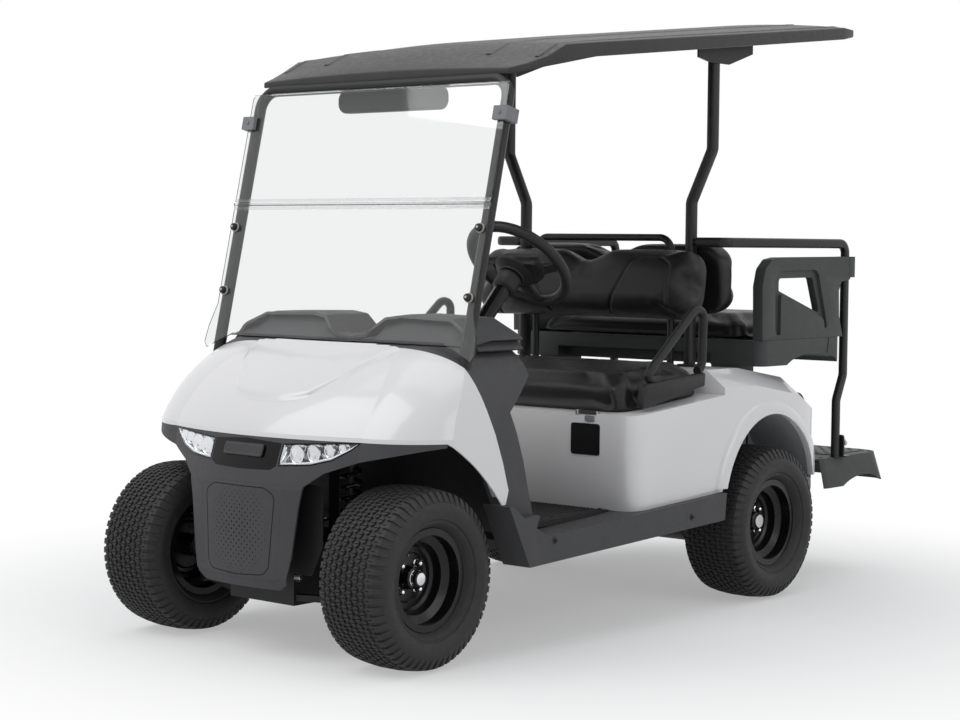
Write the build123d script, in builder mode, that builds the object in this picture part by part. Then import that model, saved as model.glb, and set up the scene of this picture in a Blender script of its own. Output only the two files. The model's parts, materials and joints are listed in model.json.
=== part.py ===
from build123d import *
import math
import os

os.makedirs("parts", exist_ok=True)

# Axes: -Y is ahead, +X is the driver's left, +Z is up and the ground is z = 0.
# The origin is under the middle of the whole cart. All sizes are in millimetres.

# ---- driving dimensions
LENGTH = 2794            # front of the front tyres to the rear edge of the footplate
WHEELBASE = 1669
FRONT_TRACK = 900
REAR_TRACK = 978
FIT = 0.3                # gap between pieces that meet along a curved face

TYRE_R = 254
TYRE_W = 234
RIM_SEAT_R = 128
RIM_LIP_R = 143
RIM_W = 166
RIM_WALL = 4
HUB_R = 34
HUB_BORE_R = 15.05
SPINDLE_R = 15

FRONT_AXLE_Y = -LENGTH / 2 + TYRE_R
REAR_AXLE_Y = FRONT_AXLE_Y + WHEELBASE
F = FRONT_AXLE_Y         # most places are given rearwards from the front axle
R = REAR_AXLE_Y          # and those at the back from the rear axle

KINGPIN_X = 365
ARM_Z = 172              # lower ball joint
UPPER_ARM_Z = 330
STEER_ARM_Y = 95         # steering arm's eye behind the axle
RACK_Z = 222
RACK_R = 12
RUNNING_FIT = 0.05

RAIL_X = 250             # chassis rails, centre to centre half distance
RAIL_W = 45
RAIL_H = 60
RAIL_Z = 250             # underside of the rails between the axles

BODY_W = 1150            # white body panels, outside
WALL = 5                 # moulded panels
FLOOR_Z = 345
FLOOR_T = 12
SILL_W = 1200
TOE_Y = F + 345          # front of the flat floor, where the toe board starts
FIREWALL_Y = F + 200
TOE_TOP_Z = 620
PLATE_TOP_Z = 430        # footplate's top

POD_FRONT_Y = F + 890
POD_REAR_Y = F + 2050
ARCH_RX = 285            # rear wheel arch, half axes of its ellipse
ARCH_RZ = 320
ARCH_Z = 300

POST_X = 504
POST_R = 18
POST_FOOT = (F + 180, 850)    # y and z where a post leaves the cowl
POST_TOP = (F + 366, 1645)
PANE_T = 5

ROOF_SKIN = 6

STRUT_Y = F + 1500
STRUT_R = 15
STRUT_TOP_X = 432
STRUT_LOW_X = 352

WHEEL_TILT = 45          # steering wheel's axis above the horizontal
WHEEL_CENTRE = (270, F + 697, 1113)
WHEEL_RIM_R = 160
WHEEL_GRIP_R = 15

CUSHION_W = 1020
FLIP_HINGE = (F + 2178, 860)     # y and z of the rear cushion's hinge
SEAT_HINGE = (F + 1378, 785)     # y and z of the lid cushion's hinge
FOOTPLATE_W = 1060


SILL_TOP = ((F + 440, 337), (F + 1362, 382))     # y and z at both ends of a sill's top
SILL_SLOPE = (SILL_TOP[1][1] - SILL_TOP[0][1]) / (SILL_TOP[1][0] - SILL_TOP[0][0])

# plane of the windshield posts, x across and y up along them, and the steering wheel's plane
POST_RUN = math.hypot(POST_TOP[0] - POST_FOOT[0], POST_TOP[1] - POST_FOOT[1])
POST_SIN = (POST_TOP[0] - POST_FOOT[0]) / POST_RUN
POST_COS = (POST_TOP[1] - POST_FOOT[1]) / POST_RUN
SCREEN = Plane((0, POST_FOOT[0], POST_FOOT[1]), x_dir=(1, 0, 0), z_dir=(0, -POST_COS, POST_SIN))
POST_BURIED = 95
POST_BEND = 60
HELM = Plane(WHEEL_CENTRE, x_dir=(1, 0, 0),
             z_dir=(0, math.cos(math.radians(WHEEL_TILT)), math.sin(math.radians(WHEEL_TILT))))
HUB_DEPTH = 52
COLUMN_R = 34
COLUMN_LEN = 330


# ---- wheels: name, side (+1 is left), axle, half track, how far the cap stands out
WHEELS = [
    # name, side, axle_y, half_track, cap_x
    ("front_left", 1, FRONT_AXLE_Y, FRONT_TRACK / 2, 53),
    ("front_right", -1, FRONT_AXLE_Y, FRONT_TRACK / 2, 53),
    ("rear_left", 1, REAR_AXLE_Y, REAR_TRACK / 2, 41),
    ("rear_right", -1, REAR_AXLE_Y, REAR_TRACK / 2, 41),
]
BEAD_X = RIM_W / 2 - RIM_WALL - FIT
CAP_R = 23
HUB_OUT_X = 30
HUB_IN_X = -34
BORE_OUT_X = 22

for name, side, axle_y, half_track, cap_x in WHEELS:
    hub_x = side * half_track
    axle = Axis((hub_x, axle_y, TYRE_R), (1, 0, 0))
    wheel_plane = Plane((hub_x, axle_y, TYRE_R), x_dir=(side, 0, 0), z_dir=(0, -side, 0))

    with BuildPart() as tyre:
        with BuildSketch(wheel_plane):
            with BuildLine():
                inner = RIM_SEAT_R + FIT
                Polyline((-BEAD_X, RIM_LIP_R), (-BEAD_X, inner), (BEAD_X, inner), (BEAD_X, RIM_LIP_R))
                ThreePointArc((BEAD_X, RIM_LIP_R), (TYRE_W / 2, 192), (104, 234))
                Line((104, 234), (97, TYRE_R - 8))
                ThreePointArc((97, TYRE_R - 8), (0, TYRE_R), (-97, TYRE_R - 8))
                Line((-97, TYRE_R - 8), (-104, 234))
                ThreePointArc((-104, 234), (-TYRE_W / 2, 192), (-BEAD_X, RIM_LIP_R))
            make_face()
        revolve(axis=axle)
    tyre.part.label = "tyre_" + name
    export_step(tyre.part, "parts/tyre_" + name + ".step")

    lip_x = RIM_W / 2
    drop_r = RIM_SEAT_R - 22
    with BuildPart() as rim:
        with BuildSketch(wheel_plane):
            with BuildLine():
                Polyline(
                    (lip_x, RIM_LIP_R), (lip_x - RIM_WALL, RIM_LIP_R), (lip_x - RIM_WALL, RIM_SEAT_R),
                    (50, RIM_SEAT_R), (38, drop_r), (-20, drop_r), (-32, RIM_SEAT_R),
                    (-lip_x + RIM_WALL, RIM_SEAT_R), (-lip_x + RIM_WALL, RIM_LIP_R), (-lip_x, RIM_LIP_R),
                    (-lip_x, RIM_SEAT_R - RIM_WALL), (-34, RIM_SEAT_R - RIM_WALL),
                    (-22, drop_r - RIM_WALL), (4, drop_r - RIM_WALL), (6, 92), (2, 84), (2, 74), (-4, 68),
                    (-4, HUB_R), (HUB_IN_X, HUB_R), (HUB_IN_X, HUB_BORE_R), (BORE_OUT_X, HUB_BORE_R),
                    (BORE_OUT_X, 0), (cap_x, 0), (cap_x, CAP_R - 2), (cap_x - 2, CAP_R),
                    (HUB_OUT_X + 4, CAP_R), (HUB_OUT_X, HUB_R - 4), (1, HUB_R), (1, 66), (7, 72), (7, 86),
                    (13, 94), (13, drop_r - RIM_WALL), (36, drop_r - RIM_WALL), (48, RIM_SEAT_R - RIM_WALL),
                    (lip_x, RIM_SEAT_R - RIM_WALL), close=True)
            make_face()
        revolve(axis=axle)
    rim.part.label = "rim_" + name
    export_step(rim.part, "parts/rim_" + name + ".step")

RACK_Y = F + STEER_ARM_Y

# ---- knuckles: upright, spindle and steering arm, which turn about the kingpin
KNUCKLE_LOW_Z = ARM_Z + 18 + FIT
KNUCKLE_TOP_Z = UPPER_ARM_Z - 14 - FIT
TIE_X = KINGPIN_X - 18
for name, side in (("knuckle_left", 1), ("knuckle_right", -1)):
    with BuildPart() as knuckle:
        with BuildSketch(Plane.XY.offset(KNUCKLE_LOW_Z)):
            with Locations((side * KINGPIN_X, F)):
                Circle(17)
        extrude(amount=KNUCKLE_TOP_Z - KNUCKLE_LOW_Z)
        with BuildSketch(Plane.YZ.offset(side * (KINGPIN_X + 8))):
            with Locations((F, TYRE_R)):
                Circle(38)
        extrude(amount=side * 22)
        with BuildSketch(Plane.YZ.offset(side * (KINGPIN_X + 20))):
            with Locations((F, TYRE_R)):
                Circle(SPINDLE_R)
        extrude(amount=side * (FRONT_TRACK / 2 + BORE_OUT_X - 3 - KINGPIN_X - 20))
        with BuildSketch(Plane.XY.offset(RACK_Z + 16)):
            with BuildLine():
                Polyline((side * (KINGPIN_X - 12), F), (side * (KINGPIN_X + 14), F),
                         (side * (TIE_X + 12), F + STEER_ARM_Y), (side * (TIE_X - 12), F + STEER_ARM_Y),
                         close=True)
            make_face()
            with Locations((side * TIE_X, F + STEER_ARM_Y)):
                Circle(14)
        extrude(amount=14)
    knuckle.part.label = name
    export_step(knuckle.part, "parts/" + name + ".step")

# ---- front suspension: an upper and a lower A-arm on each side, on pivots along the subframe
SUB_X = 130
SUB_HALF_Y = 120
PIVOT_Y = 100
with BuildPart() as front_arms:
    for arm_z, eye_h in ((ARM_Z, 36), (UPPER_ARM_Z, 28)):
        with BuildSketch(Plane.XY.offset(arm_z - 9)):
            with BuildLine():
                Polyline((KINGPIN_X + 8, F + 14), (SUB_X, F + PIVOT_Y + 12), (SUB_X, F + PIVOT_Y - 12),
                         (KINGPIN_X - 45, F), (SUB_X, F - PIVOT_Y + 12), (SUB_X, F - PIVOT_Y - 12),
                         (KINGPIN_X + 8, F - 14), close=True)
            make_face()
        extrude(amount=18)
        with BuildSketch(Plane.XY.offset(arm_z - eye_h / 2)):
            with Locations((KINGPIN_X, F)):
                Circle(20)
        extrude(amount=eye_h)
    mirror(about=Plane.YZ)
front_arms.part.label = "front_arms"
export_step(front_arms.part, "parts/front_arms.step")

# ---- coil-over shocks, standing on the lower arms
SHOCK_X = 235
SHOCK_LOW_Z = ARM_Z + 9
SHOCK_TOP_Z = 585
COIL_R = 32
with BuildPart() as front_shocks:
    with BuildSketch(Plane.XY.offset(SHOCK_LOW_Z)):
        with Locations((SHOCK_X, F - 55), (SHOCK_X, F + 55)):
            Rectangle(20, 26)
        with Locations((SHOCK_X, F)):
            Rectangle(20, 130)
    extrude(amount=26)
    with BuildSketch(Plane.XY.offset(SHOCK_LOW_Z + 20)):
        with Locations((SHOCK_X, F)):
            Circle(17)
    extrude(amount=SHOCK_TOP_Z - SHOCK_LOW_Z - 20)
    for turn in range(9):
        with BuildSketch(Plane.XY.offset(SHOCK_LOW_Z + 70 + 34 * turn)):
            with Locations((SHOCK_X, F)):
                Circle(COIL_R)
        extrude(amount=12)
    mirror(about=Plane.YZ)
front_shocks.part.label = "front_shocks"
export_step(front_shocks.part, "parts/front_shocks.step")

FLOOR_W = 1000
# ---- chassis: two rails that rise over the rear axle, cross tubes, front subframe and shock towers,
# outriggers under the floor, spring hangers, and two arms that carry the footplate
SPRING_X = 330
LEAF_W = 50
LEAF_EYE_Y = 330         # half length of a leaf spring, eye to eye
LEAF_Z = TYRE_R + 50
EYE_Z = LEAF_Z + 66
EYE_PIN_R = 8
PLATE_ARM_H = 50
PLATE_SKIN = 6
RAIL_FRONT_Y = F + 270
RAIL_REAR_Y = POD_REAR_Y - 20
KICK_Z = 440
RAIL_PATH = [
    (RAIL_FRONT_Y, RAIL_Z), (R - 330, RAIL_Z), (R - 200, KICK_Z), (RAIL_REAR_Y, KICK_Z),
    (RAIL_REAR_Y, KICK_Z + RAIL_H), (R - 225, KICK_Z + RAIL_H), (R - 355, RAIL_Z + RAIL_H),
    (RAIL_FRONT_Y, RAIL_Z + RAIL_H)]
with BuildPart() as frame:
    with BuildSketch(Plane.YZ.offset(RAIL_X - RAIL_W / 2)):
        with BuildLine():
            Polyline(*RAIL_PATH, close=True)
        make_face()
    extrude(amount=RAIL_W)
    mirror(about=Plane.YZ)
    for cross_y, cross_z in ((F + 292, RAIL_Z), (F + 640, RAIL_Z), (POD_FRONT_Y + 60, RAIL_Z),
                             (R - 60, KICK_Z + 8), (RAIL_REAR_Y - 25, KICK_Z + 8)):
        with BuildSketch(Plane.XZ.offset(-cross_y - 20)):
            with Locations((0, cross_z + RAIL_H / 2)):
                Rectangle(2 * RAIL_X, 40)
        extrude(amount=40)
    for outrigger_y in (F + 440, F + 640, POD_FRONT_Y - 40):
        with BuildSketch(Plane.XY.offset(RAIL_Z + RAIL_H)):
            with Locations((0, outrigger_y)):
                Rectangle(FLOOR_W, 40)
        extrude(amount=FLOOR_Z - RAIL_Z - RAIL_H)
    for eye_y, low_z, high_z in ((R - LEAF_EYE_Y, RAIL_Z + 20, EYE_Z + 22), (R + LEAF_EYE_Y, EYE_Z - 22, KICK_Z + 40)):
        for side in (1, -1):
            with BuildSketch(Plane.YZ.offset(side * (RAIL_X + RAIL_W / 2))):
                with Locations((eye_y, low_z)):
                    Rectangle(50, high_z - low_z, align=(Align.CENTER, Align.MIN))
            extrude(amount=side * 10)
            with BuildSketch(Plane.YZ.offset(side * (RAIL_X + RAIL_W / 2))):
                with Locations((eye_y, EYE_Z)):
                    Circle(EYE_PIN_R)
            extrude(amount=side * (SPRING_X + LEAF_W / 2 + 6 - RAIL_X - RAIL_W / 2))
    for side in (1, -1):
        with BuildSketch(Plane.YZ.offset(side * RAIL_X - RAIL_W / 2)):
            with BuildLine():
                arm_z = PLATE_TOP_Z - PLATE_SKIN
                Polyline((RAIL_REAR_Y - 120, KICK_Z + 1), (RAIL_REAR_Y - 80, arm_z - PLATE_ARM_H),
                         (LENGTH / 2 - 60, arm_z - PLATE_ARM_H), (LENGTH / 2 - 60, arm_z), (RAIL_REAR_Y + 8, arm_z),
                         (RAIL_REAR_Y, KICK_Z + 1), close=True)
            make_face()
        extrude(amount=RAIL_W)
    with BuildSketch(Plane.XY.offset(ARM_Z - 22)):
        with Locations((0, F - SUB_HALF_Y)):
            Rectangle(2 * SUB_X, SUB_HALF_Y + 280, align=(Align.CENTER, Align.MIN))
    extrude(amount=RAIL_Z + RAIL_H - ARM_Z + 22)
    with BuildSketch(Plane.XY.offset(RAIL_Z + RAIL_H - 1)):
        with Locations((SUB_X - 20, F - 80), (SUB_X - 20, F + 80), (20 - SUB_X, F - 80), (20 - SUB_X, F + 80)):
            Rectangle(40, 40)
    extrude(amount=SHOCK_TOP_Z + 20 - RAIL_Z - RAIL_H + 1)
    with BuildSketch(Plane.XY.offset(SHOCK_TOP_Z)):
        with Locations((0, F)):
            Rectangle(2 * SHOCK_X + 70, 150)
    extrude(amount=20)
    with BuildSketch(Plane.YZ.offset(-SUB_X - 1)):
        with Locations((RACK_Y, RACK_Z)):
            Circle(RACK_R + RUNNING_FIT)
    extrude(amount=2 * SUB_X + 2, mode=Mode.SUBTRACT)
frame.part.label = "frame"
export_step(frame.part, "parts/frame.step")


# ---- steering rack with its tie rods, sliding sideways through the subframe
EYE_R = 14
with BuildPart() as steering_rack:
    with BuildSketch(Plane.YZ.offset(-TIE_X + EYE_R / 2)):
        with Locations((RACK_Y, RACK_Z)):
            Circle(RACK_R - 3)
    extrude(amount=2 * TIE_X - EYE_R)
    with BuildSketch(Plane.YZ.offset(-SUB_X - 50)):
        with Locations((RACK_Y, RACK_Z)):
            Circle(RACK_R)
    extrude(amount=2 * SUB_X + 100)
    with BuildSketch(Plane.XY.offset(RACK_Z - 12)):
        with Locations((-TIE_X, RACK_Y), (TIE_X, RACK_Y)):
            Circle(EYE_R)
    extrude(amount=22)
steering_rack.part.label = "steering_rack"
export_step(steering_rack.part, "parts/steering_rack.step")

# ---- rear axle: tube, differential case, drive motor on its front, spindles in the hubs
HUB_END_X = REAR_TRACK / 2 + BORE_OUT_X - 3
with BuildPart() as rear_axle:
    with BuildSketch(Plane.YZ.offset(-REAR_TRACK / 2 + 75)):
        with Locations((R, TYRE_R)):
            Circle(32)
    extrude(amount=REAR_TRACK - 150)
    with BuildSketch(Plane.YZ.offset(-HUB_END_X)):
        with Locations((R, TYRE_R)):
            Circle(SPINDLE_R)
    extrude(amount=2 * HUB_END_X)
    with BuildSketch(Plane.YZ.offset(REAR_TRACK / 2 - 75), Plane.YZ.offset(-REAR_TRACK / 2 + 61)):
        with Locations((R, TYRE_R)):
            Circle(88)
    extrude(amount=14)
    with BuildSketch(Plane.YZ.offset(-60)):
        with Locations((R, TYRE_R)):
            Circle(95)
    extrude(amount=130)
    with BuildSketch(Plane.XY.offset(TYRE_R + 28)):
        with Locations((SPRING_X, R), (-SPRING_X, R)):
            Rectangle(60, 90)
    extrude(amount=22)
    fillet(rear_axle.edges().filter_by(GeomType.CIRCLE).group_by(lambda e: e.radius)[-1], 20)
rear_axle.part.label = "rear_axle"
export_step(rear_axle.part, "parts/rear_axle.step")

MOTOR_R = 92
with BuildPart() as motor:
    with BuildSketch(Plane.YZ.offset(70 + FIT)):
        with Locations((R, TYRE_R)):
            Circle(MOTOR_R)
            Circle(32 + FIT, mode=Mode.SUBTRACT)
    extrude(amount=190)
    chamfer(motor.edges().filter_by(GeomType.CIRCLE).group_by(Axis.X)[-1][-1], 3)
motor.part.label = "motor"
export_step(motor.part, "parts/motor.step")

# ---- rear leaf springs with their hangers, under the rails
with BuildPart() as leaf_springs:
    with BuildSketch(Plane.YZ.offset(SPRING_X - LEAF_W / 2)):
        with BuildLine():
            ThreePointArc((R - LEAF_EYE_Y, LEAF_Z + 60), (R, LEAF_Z + FIT), (R + LEAF_EYE_Y, LEAF_Z + 60))
            Line((R + LEAF_EYE_Y, LEAF_Z + 60), (R + LEAF_EYE_Y, LEAF_Z + 72))
            ThreePointArc((R + LEAF_EYE_Y, LEAF_Z + 72), (R, LEAF_Z + 26), (R - LEAF_EYE_Y, LEAF_Z + 72))
            Line((R - LEAF_EYE_Y, LEAF_Z + 72), (R - LEAF_EYE_Y, LEAF_Z + 60))
        make_face()
    extrude(amount=LEAF_W)
    with BuildSketch(Plane.YZ.offset(SPRING_X - LEAF_W / 2)):
        with Locations((R - LEAF_EYE_Y, EYE_Z), (R + LEAF_EYE_Y, EYE_Z)):
            Circle(16)
    extrude(amount=LEAF_W)
    with BuildSketch(Plane.YZ.offset(SPRING_X - LEAF_W / 2)):
        with Locations((R - LEAF_EYE_Y, EYE_Z), (R + LEAF_EYE_Y, EYE_Z)):
            Circle(EYE_PIN_R + FIT)
    extrude(amount=LEAF_W, mode=Mode.SUBTRACT)
    mirror(about=Plane.YZ)
leaf_springs.part.label = "leaf_springs"
export_step(leaf_springs.part, "parts/leaf_springs.step")

BATTERY = (620, 340, 240)
with BuildPart() as battery_pack:
    with BuildSketch(Plane.XY.offset(RAIL_Z + RAIL_H)):
        with Locations((0, POD_FRONT_Y + 60 + BATTERY[1] / 2)):
            RectangleRounded(BATTERY[0], BATTERY[1], 20)
    extrude(amount=BATTERY[2])
battery_pack.part.label = "battery_pack"
export_step(battery_pack.part, "parts/battery_pack.step")

# ---- front body: one outer form, in level sections, that every panel of the nose is cut from
# z, centre front y, corner x, corner y, side x, side front y
NOSE_LOW = [
    (180, -200, 200, -170, 565, 60),
    (240, -222, 230, -190, 568, 60),
    (490, -216, 340, -150, 575, 55),
    (560, -200, 370, -120, 578, 50),
    (640, -172, 378, -105, 575, 45),
]
NOSE_TOP = [
    (640, -172, 378, -105, 575, 45),
    (720, -116, 370, -52, 562, 80),
    (800, -20, 342, 26, 535, 135),
    (880, 130, 270, 150, 450, 210),
]
NOSE_BACK_Y = 420


def nose_form(inset):
    """Outer form of the nose, or the same form drawn in by a wall."""
    with BuildPart() as form:
        for sections, straight in ((NOSE_LOW, True), (NOSE_TOP, False)):
            for z, front_y, corner_x, corner_y, side_x, side_y in sections:
                level = z - inset * (z - NOSE_LOW[-1][0]) / (NOSE_TOP[-1][0] - NOSE_LOW[-1][0])
                with BuildSketch(Plane.XY.offset(level if z > NOSE_LOW[-1][0] else z)):
                    with BuildLine():
                        cx = corner_x - inset * 0.6
                        cy = F + corner_y + inset
                        sx = side_x - inset
                        sy = F + side_y + inset * 0.4
                        mid_x = cx + (sx - cx) * 0.68
                        mid_y = cy + (sy - cy) * 0.38
                        ThreePointArc((-cx, cy), (0, F + front_y + inset), (cx, cy))
                        ThreePointArc((cx, cy), (mid_x, mid_y), (sx, sy))
                        Line((sx, sy), (sx, F + NOSE_BACK_Y))
                        Line((sx, F + NOSE_BACK_Y), (-sx, F + NOSE_BACK_Y))
                        Line((-sx, F + NOSE_BACK_Y), (-sx, sy))
                        ThreePointArc((-sx, sy), (-mid_x, mid_y), (-cx, cy))
                    make_face()
            loft(ruled=straight)
    return form.part


NOSE_OUTER = nose_form(0)
NOSE_INNER = nose_form(WALL)
LAMP_INNER = nose_form(45)
COWL_SLOPE = 0.37
COWL_EDGE_Y = F + 150


def cowl_rear_y(z):
    """Rear edge of the hood and fenders: a plane that leans forward as it rises."""
    return COWL_EDGE_Y + (850 - z) * COWL_SLOPE


SEAM_Z = 628
ARCH_FRONT_Y = F + 30
with BuildPart() as front_cowl:
    add(NOSE_OUTER)
    add(NOSE_INNER, mode=Mode.SUBTRACT)
    with BuildSketch(Plane.YZ.offset(-BODY_W)):
        with BuildLine():
            Line((F - 300, SEAM_Z), (ARCH_FRONT_Y, SEAM_Z))
            ThreePointArc((ARCH_FRONT_Y, SEAM_Z), (F + 170, 532), (F + 262, 440))
            Polyline((F + 262, 440), (F + 276, 440), (cowl_rear_y(480), 480), (cowl_rear_y(900), 900),
                     (F - 300, 900), (F - 300, SEAM_Z))
        make_face()
    extrude(amount=2 * BODY_W, mode=Mode.INTERSECT)
    with BuildSketch(Plane(SCREEN.from_local_coords((POST_X, -POST_BURIED - 20, 0)),
                           x_dir=(1, 0, 0), z_dir=(0, POST_SIN, POST_COS))):
        with Locations((0, 0), (-2 * POST_X, 0)):
            Circle(POST_R + FIT)
    extrude(amount=300, mode=Mode.SUBTRACT)
front_cowl.part.label = "front_cowl"
export_step(front_cowl.part, "parts/front_cowl.step")

# front-view outlines of the panels set into the nose, right half as x, z
LAMP_OUTLINE = [(137, 553), (139, 613), (376, 627), (350, 606), (300, 576), (240, 560)]
NOSE_PANEL_HALF = [(0, 537), (110, 540), (131, 552), (133, 614), (0, 622)]
BUMPER_TOP, BUMPER_LOW = (165, 500), (145, 229)
FASCIA_HALF = [
    (0, 205), (150, 205), (178, 225), (196, 300), (215, 440), (228, 500), (283, 540), (372, 573),
    (465, 593), (570, 618), (585, SEAM_Z - FIT), (0, SEAM_Z - FIT)]

with BuildPart() as front_fascia:
    add(NOSE_OUTER)
    add(NOSE_INNER, mode=Mode.SUBTRACT)
    with BuildSketch(Plane.XZ.offset(-ARCH_FRONT_Y + FIT)):
        with BuildLine():
            Polyline(*FASCIA_HALF, close=True)
        make_face()
        mirror(about=Plane.YZ)
    extrude(amount=400, mode=Mode.INTERSECT)
    with BuildSketch(Plane.XZ.offset(-F + 40)):
        with BuildLine():
            Polyline(*LAMP_OUTLINE, close=True)
        make_face()
        with BuildLine():
            Polyline(*NOSE_PANEL_HALF, close=True)
        make_face()
        with BuildLine():
            Polyline((0, BUMPER_TOP[1]), BUMPER_TOP, BUMPER_LOW, (0, BUMPER_LOW[1]), close=True)
        make_face()
        mirror(about=Plane.YZ)
        offset(amount=FIT)
    extrude(amount=400, mode=Mode.SUBTRACT)
front_fascia.part.label = "front_fascia"
export_step(front_fascia.part, "parts/front_fascia.step")

with BuildPart() as headlamps:
    add(NOSE_OUTER)
    add(LAMP_INNER, mode=Mode.SUBTRACT)
    with BuildSketch(Plane.XZ.offset(-ARCH_FRONT_Y + FIT)):
        with BuildLine():
            Polyline(*LAMP_OUTLINE, close=True)
        make_face()
        mirror(about=Plane.YZ)
    extrude(amount=400, mode=Mode.INTERSECT)
headlamps.part.label = "headlamps"
export_step(headlamps.part, "parts/headlamps.step")

with BuildPart() as nose_panel:
    add(NOSE_OUTER)
    add(LAMP_INNER, mode=Mode.SUBTRACT)
    with BuildSketch(Plane.XZ.offset(-ARCH_FRONT_Y + FIT)):
        with BuildLine():
            Polyline(*NOSE_PANEL_HALF, close=True)
        make_face()
        mirror(about=Plane.YZ)
    extrude(amount=400, mode=Mode.INTERSECT)
nose_panel.part.label = "nose_panel"
export_step(nose_panel.part, "parts/nose_panel.step")

with BuildPart() as bumper_panel:
    add(NOSE_OUTER)
    add(NOSE_INNER, mode=Mode.SUBTRACT)
    with BuildSketch(Plane.XZ.offset(-ARCH_FRONT_Y + FIT)):
        with BuildLine():
            Polyline((0, BUMPER_TOP[1]), BUMPER_TOP, BUMPER_LOW, (0, BUMPER_LOW[1]), close=True)
        make_face()
        mirror(about=Plane.YZ)
    extrude(amount=400, mode=Mode.INTERSECT)
bumper_panel.part.label = "bumper_panel"
export_step(bumper_panel.part, "parts/bumper_panel.step")

# ---- dash: the band behind the hood, its two humps and the cowls down the sides
DASH_BAND = 96
DASH_BACK_Y = F + 440
with BuildPart() as dash:
    add(NOSE_OUTER)
    add(NOSE_INNER, mode=Mode.SUBTRACT)
    with BuildSketch(Plane.YZ.offset(-BODY_W)):
        with BuildLine():
            Polyline((cowl_rear_y(480) + FIT, 480), (F + 276 + FIT, 440), (F + 330, 400), (F + 400, 400),
                     (cowl_rear_y(700) + DASH_BAND, 700), (F + 420, 800), (F + 420, 882),
                     (cowl_rear_y(882) + FIT, 882), close=True)
        make_face()
    extrude(amount=2 * BODY_W, mode=Mode.INTERSECT)
    with BuildSketch(Plane.XZ.offset(-DASH_BACK_Y)):
        with BuildLine():
            Polyline((0, 870), (0, 897), (60, 905), (120, 955), (180, 963), (380, 958), (450, 925), (500, 872))
            Line((500, 872), (490, 868))
            Polyline((490, 868), (445, 915), (378, 950), (182, 955), (125, 947), (64, 897), (6, 889), (6, 870))
            Line((6, 870), (0, 870))
        make_face()
        mirror(about=Plane.YZ)
    extrude(amount=200)
    with BuildSketch(Plane.YZ.offset(-520)):
        with BuildLine():
            Polyline((F + 220, 884), (F + 290, 1000), (F + 220, 1000), close=True)
        make_face()
    extrude(amount=1040, mode=Mode.SUBTRACT)
    with BuildSketch(Plane(SCREEN.from_local_coords((POST_X, -POST_BURIED - 20, 0)),
                           x_dir=(1, 0, 0), z_dir=(0, POST_SIN, POST_COS))):
        with Locations((0, 0), (-2 * POST_X, 0)):
            Circle(POST_R + FIT)
    extrude(amount=300, mode=Mode.SUBTRACT)
    with BuildSketch(HELM.offset(-HUB_DEPTH)):
        Circle(COLUMN_R + FIT)
    extrude(amount=-COLUMN_LEN - 50, mode=Mode.SUBTRACT)
dash.part.label = "dash"
export_step(dash.part, "parts/dash.step")

# ---- floor pan with its toe board and firewall
POD_GAP = 2
FIREWALL_Z = 740
with BuildPart() as floor_pan:
    with BuildSketch(Plane.YZ.offset(-FLOOR_W / 2)):
        with BuildLine():
            Polyline((POD_FRONT_Y - POD_GAP, FLOOR_Z), (TOE_Y, FLOOR_Z), (FIREWALL_Y, TOE_TOP_Z),
                     (FIREWALL_Y, FIREWALL_Z), (FIREWALL_Y + FLOOR_T, FIREWALL_Z),
                     (FIREWALL_Y + FLOOR_T, TOE_TOP_Z), (TOE_Y + FLOOR_T, FLOOR_Z + FLOOR_T),
                     (POD_FRONT_Y - POD_GAP, FLOOR_Z + FLOOR_T), close=True)
        make_face()
    extrude(amount=FLOOR_W)
floor_pan.part.label = "floor_pan"
export_step(floor_pan.part, "parts/floor_pan.step")

with BuildPart() as side_sills:
    with BuildSketch(Plane.YZ.offset(FLOOR_W / 2 + FIT)):
        with BuildLine():
            Polyline((F + 356, 255), (F + 1353, 295), SILL_TOP[1], SILL_TOP[0], (F + 385, 365),
                     (F + 400, 400 - FIT), (F + 330, 400 - FIT), (F + 277, 437), (F + 262, 437), close=True)
        make_face()
    extrude(amount=SILL_W / 2 - FLOOR_W / 2 - FIT)
    mirror(about=Plane.YZ)
side_sills.part.label = "side_sills"
export_step(side_sills.part, "parts/side_sills.step")

# ---- rear body: seat pod and rear fenders, a hollow moulding open below
POD_SEAT_Z = 652         # top of the seat pod at its front
SEAT_TILT = 5            # degrees, the seat rises towards its back
POD_STEP_Y = F + 1380
POD_LOW_Z = 390          # lower edge behind the rear wheels
POD_CORNER_R = 70
POD_SHOULDER_R = 55
SEAT_SLOPE = math.tan(math.radians(SEAT_TILT))


def sill_top_z(y):
    """Height of the sills' top, which the pod stands just clear of."""
    return SILL_TOP[0][1] + (y - SILL_TOP[0][0]) * SILL_SLOPE


def seat_line_z(y):
    """Height of the seat pod's top, which rises towards the back."""
    return POD_SEAT_Z + (y - POD_FRONT_Y) * SEAT_SLOPE


POD_DECK_Z = 772
POD_TOP = [(POD_STEP_Y, POD_DECK_Z), (F + 1560, POD_DECK_Z), (F + 1830, 730), (F + 1950, 660), (POD_REAR_Y, 520)]


def pod_form(inset):
    """Outer form of the rear body, or the same form drawn in by a wall and open below."""
    front_y = POD_FRONT_Y + inset
    rear_y = POD_REAR_Y - inset
    drop = 8 * inset
    with BuildPart() as form:
        with BuildSketch(Plane.YZ.offset(-BODY_W / 2 + inset)):
            with BuildLine():
                Polyline((front_y, sill_top_z(POD_FRONT_Y) + FIT - drop), (front_y, seat_line_z(front_y) - inset),
                         (POD_STEP_Y + inset, seat_line_z(POD_STEP_Y) - inset),
                         *[(min(y + inset, rear_y), z - inset) for y, z in POD_TOP],
                         (rear_y, POD_LOW_Z - drop), (F + 1410, sill_top_z(F + 1410) + FIT - drop), close=True)
            make_face()
        extrude(amount=BODY_W - 2 * inset)
        fillet(form.edges().filter_by(Axis.Z), POD_CORNER_R - inset)
    return form.part


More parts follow.
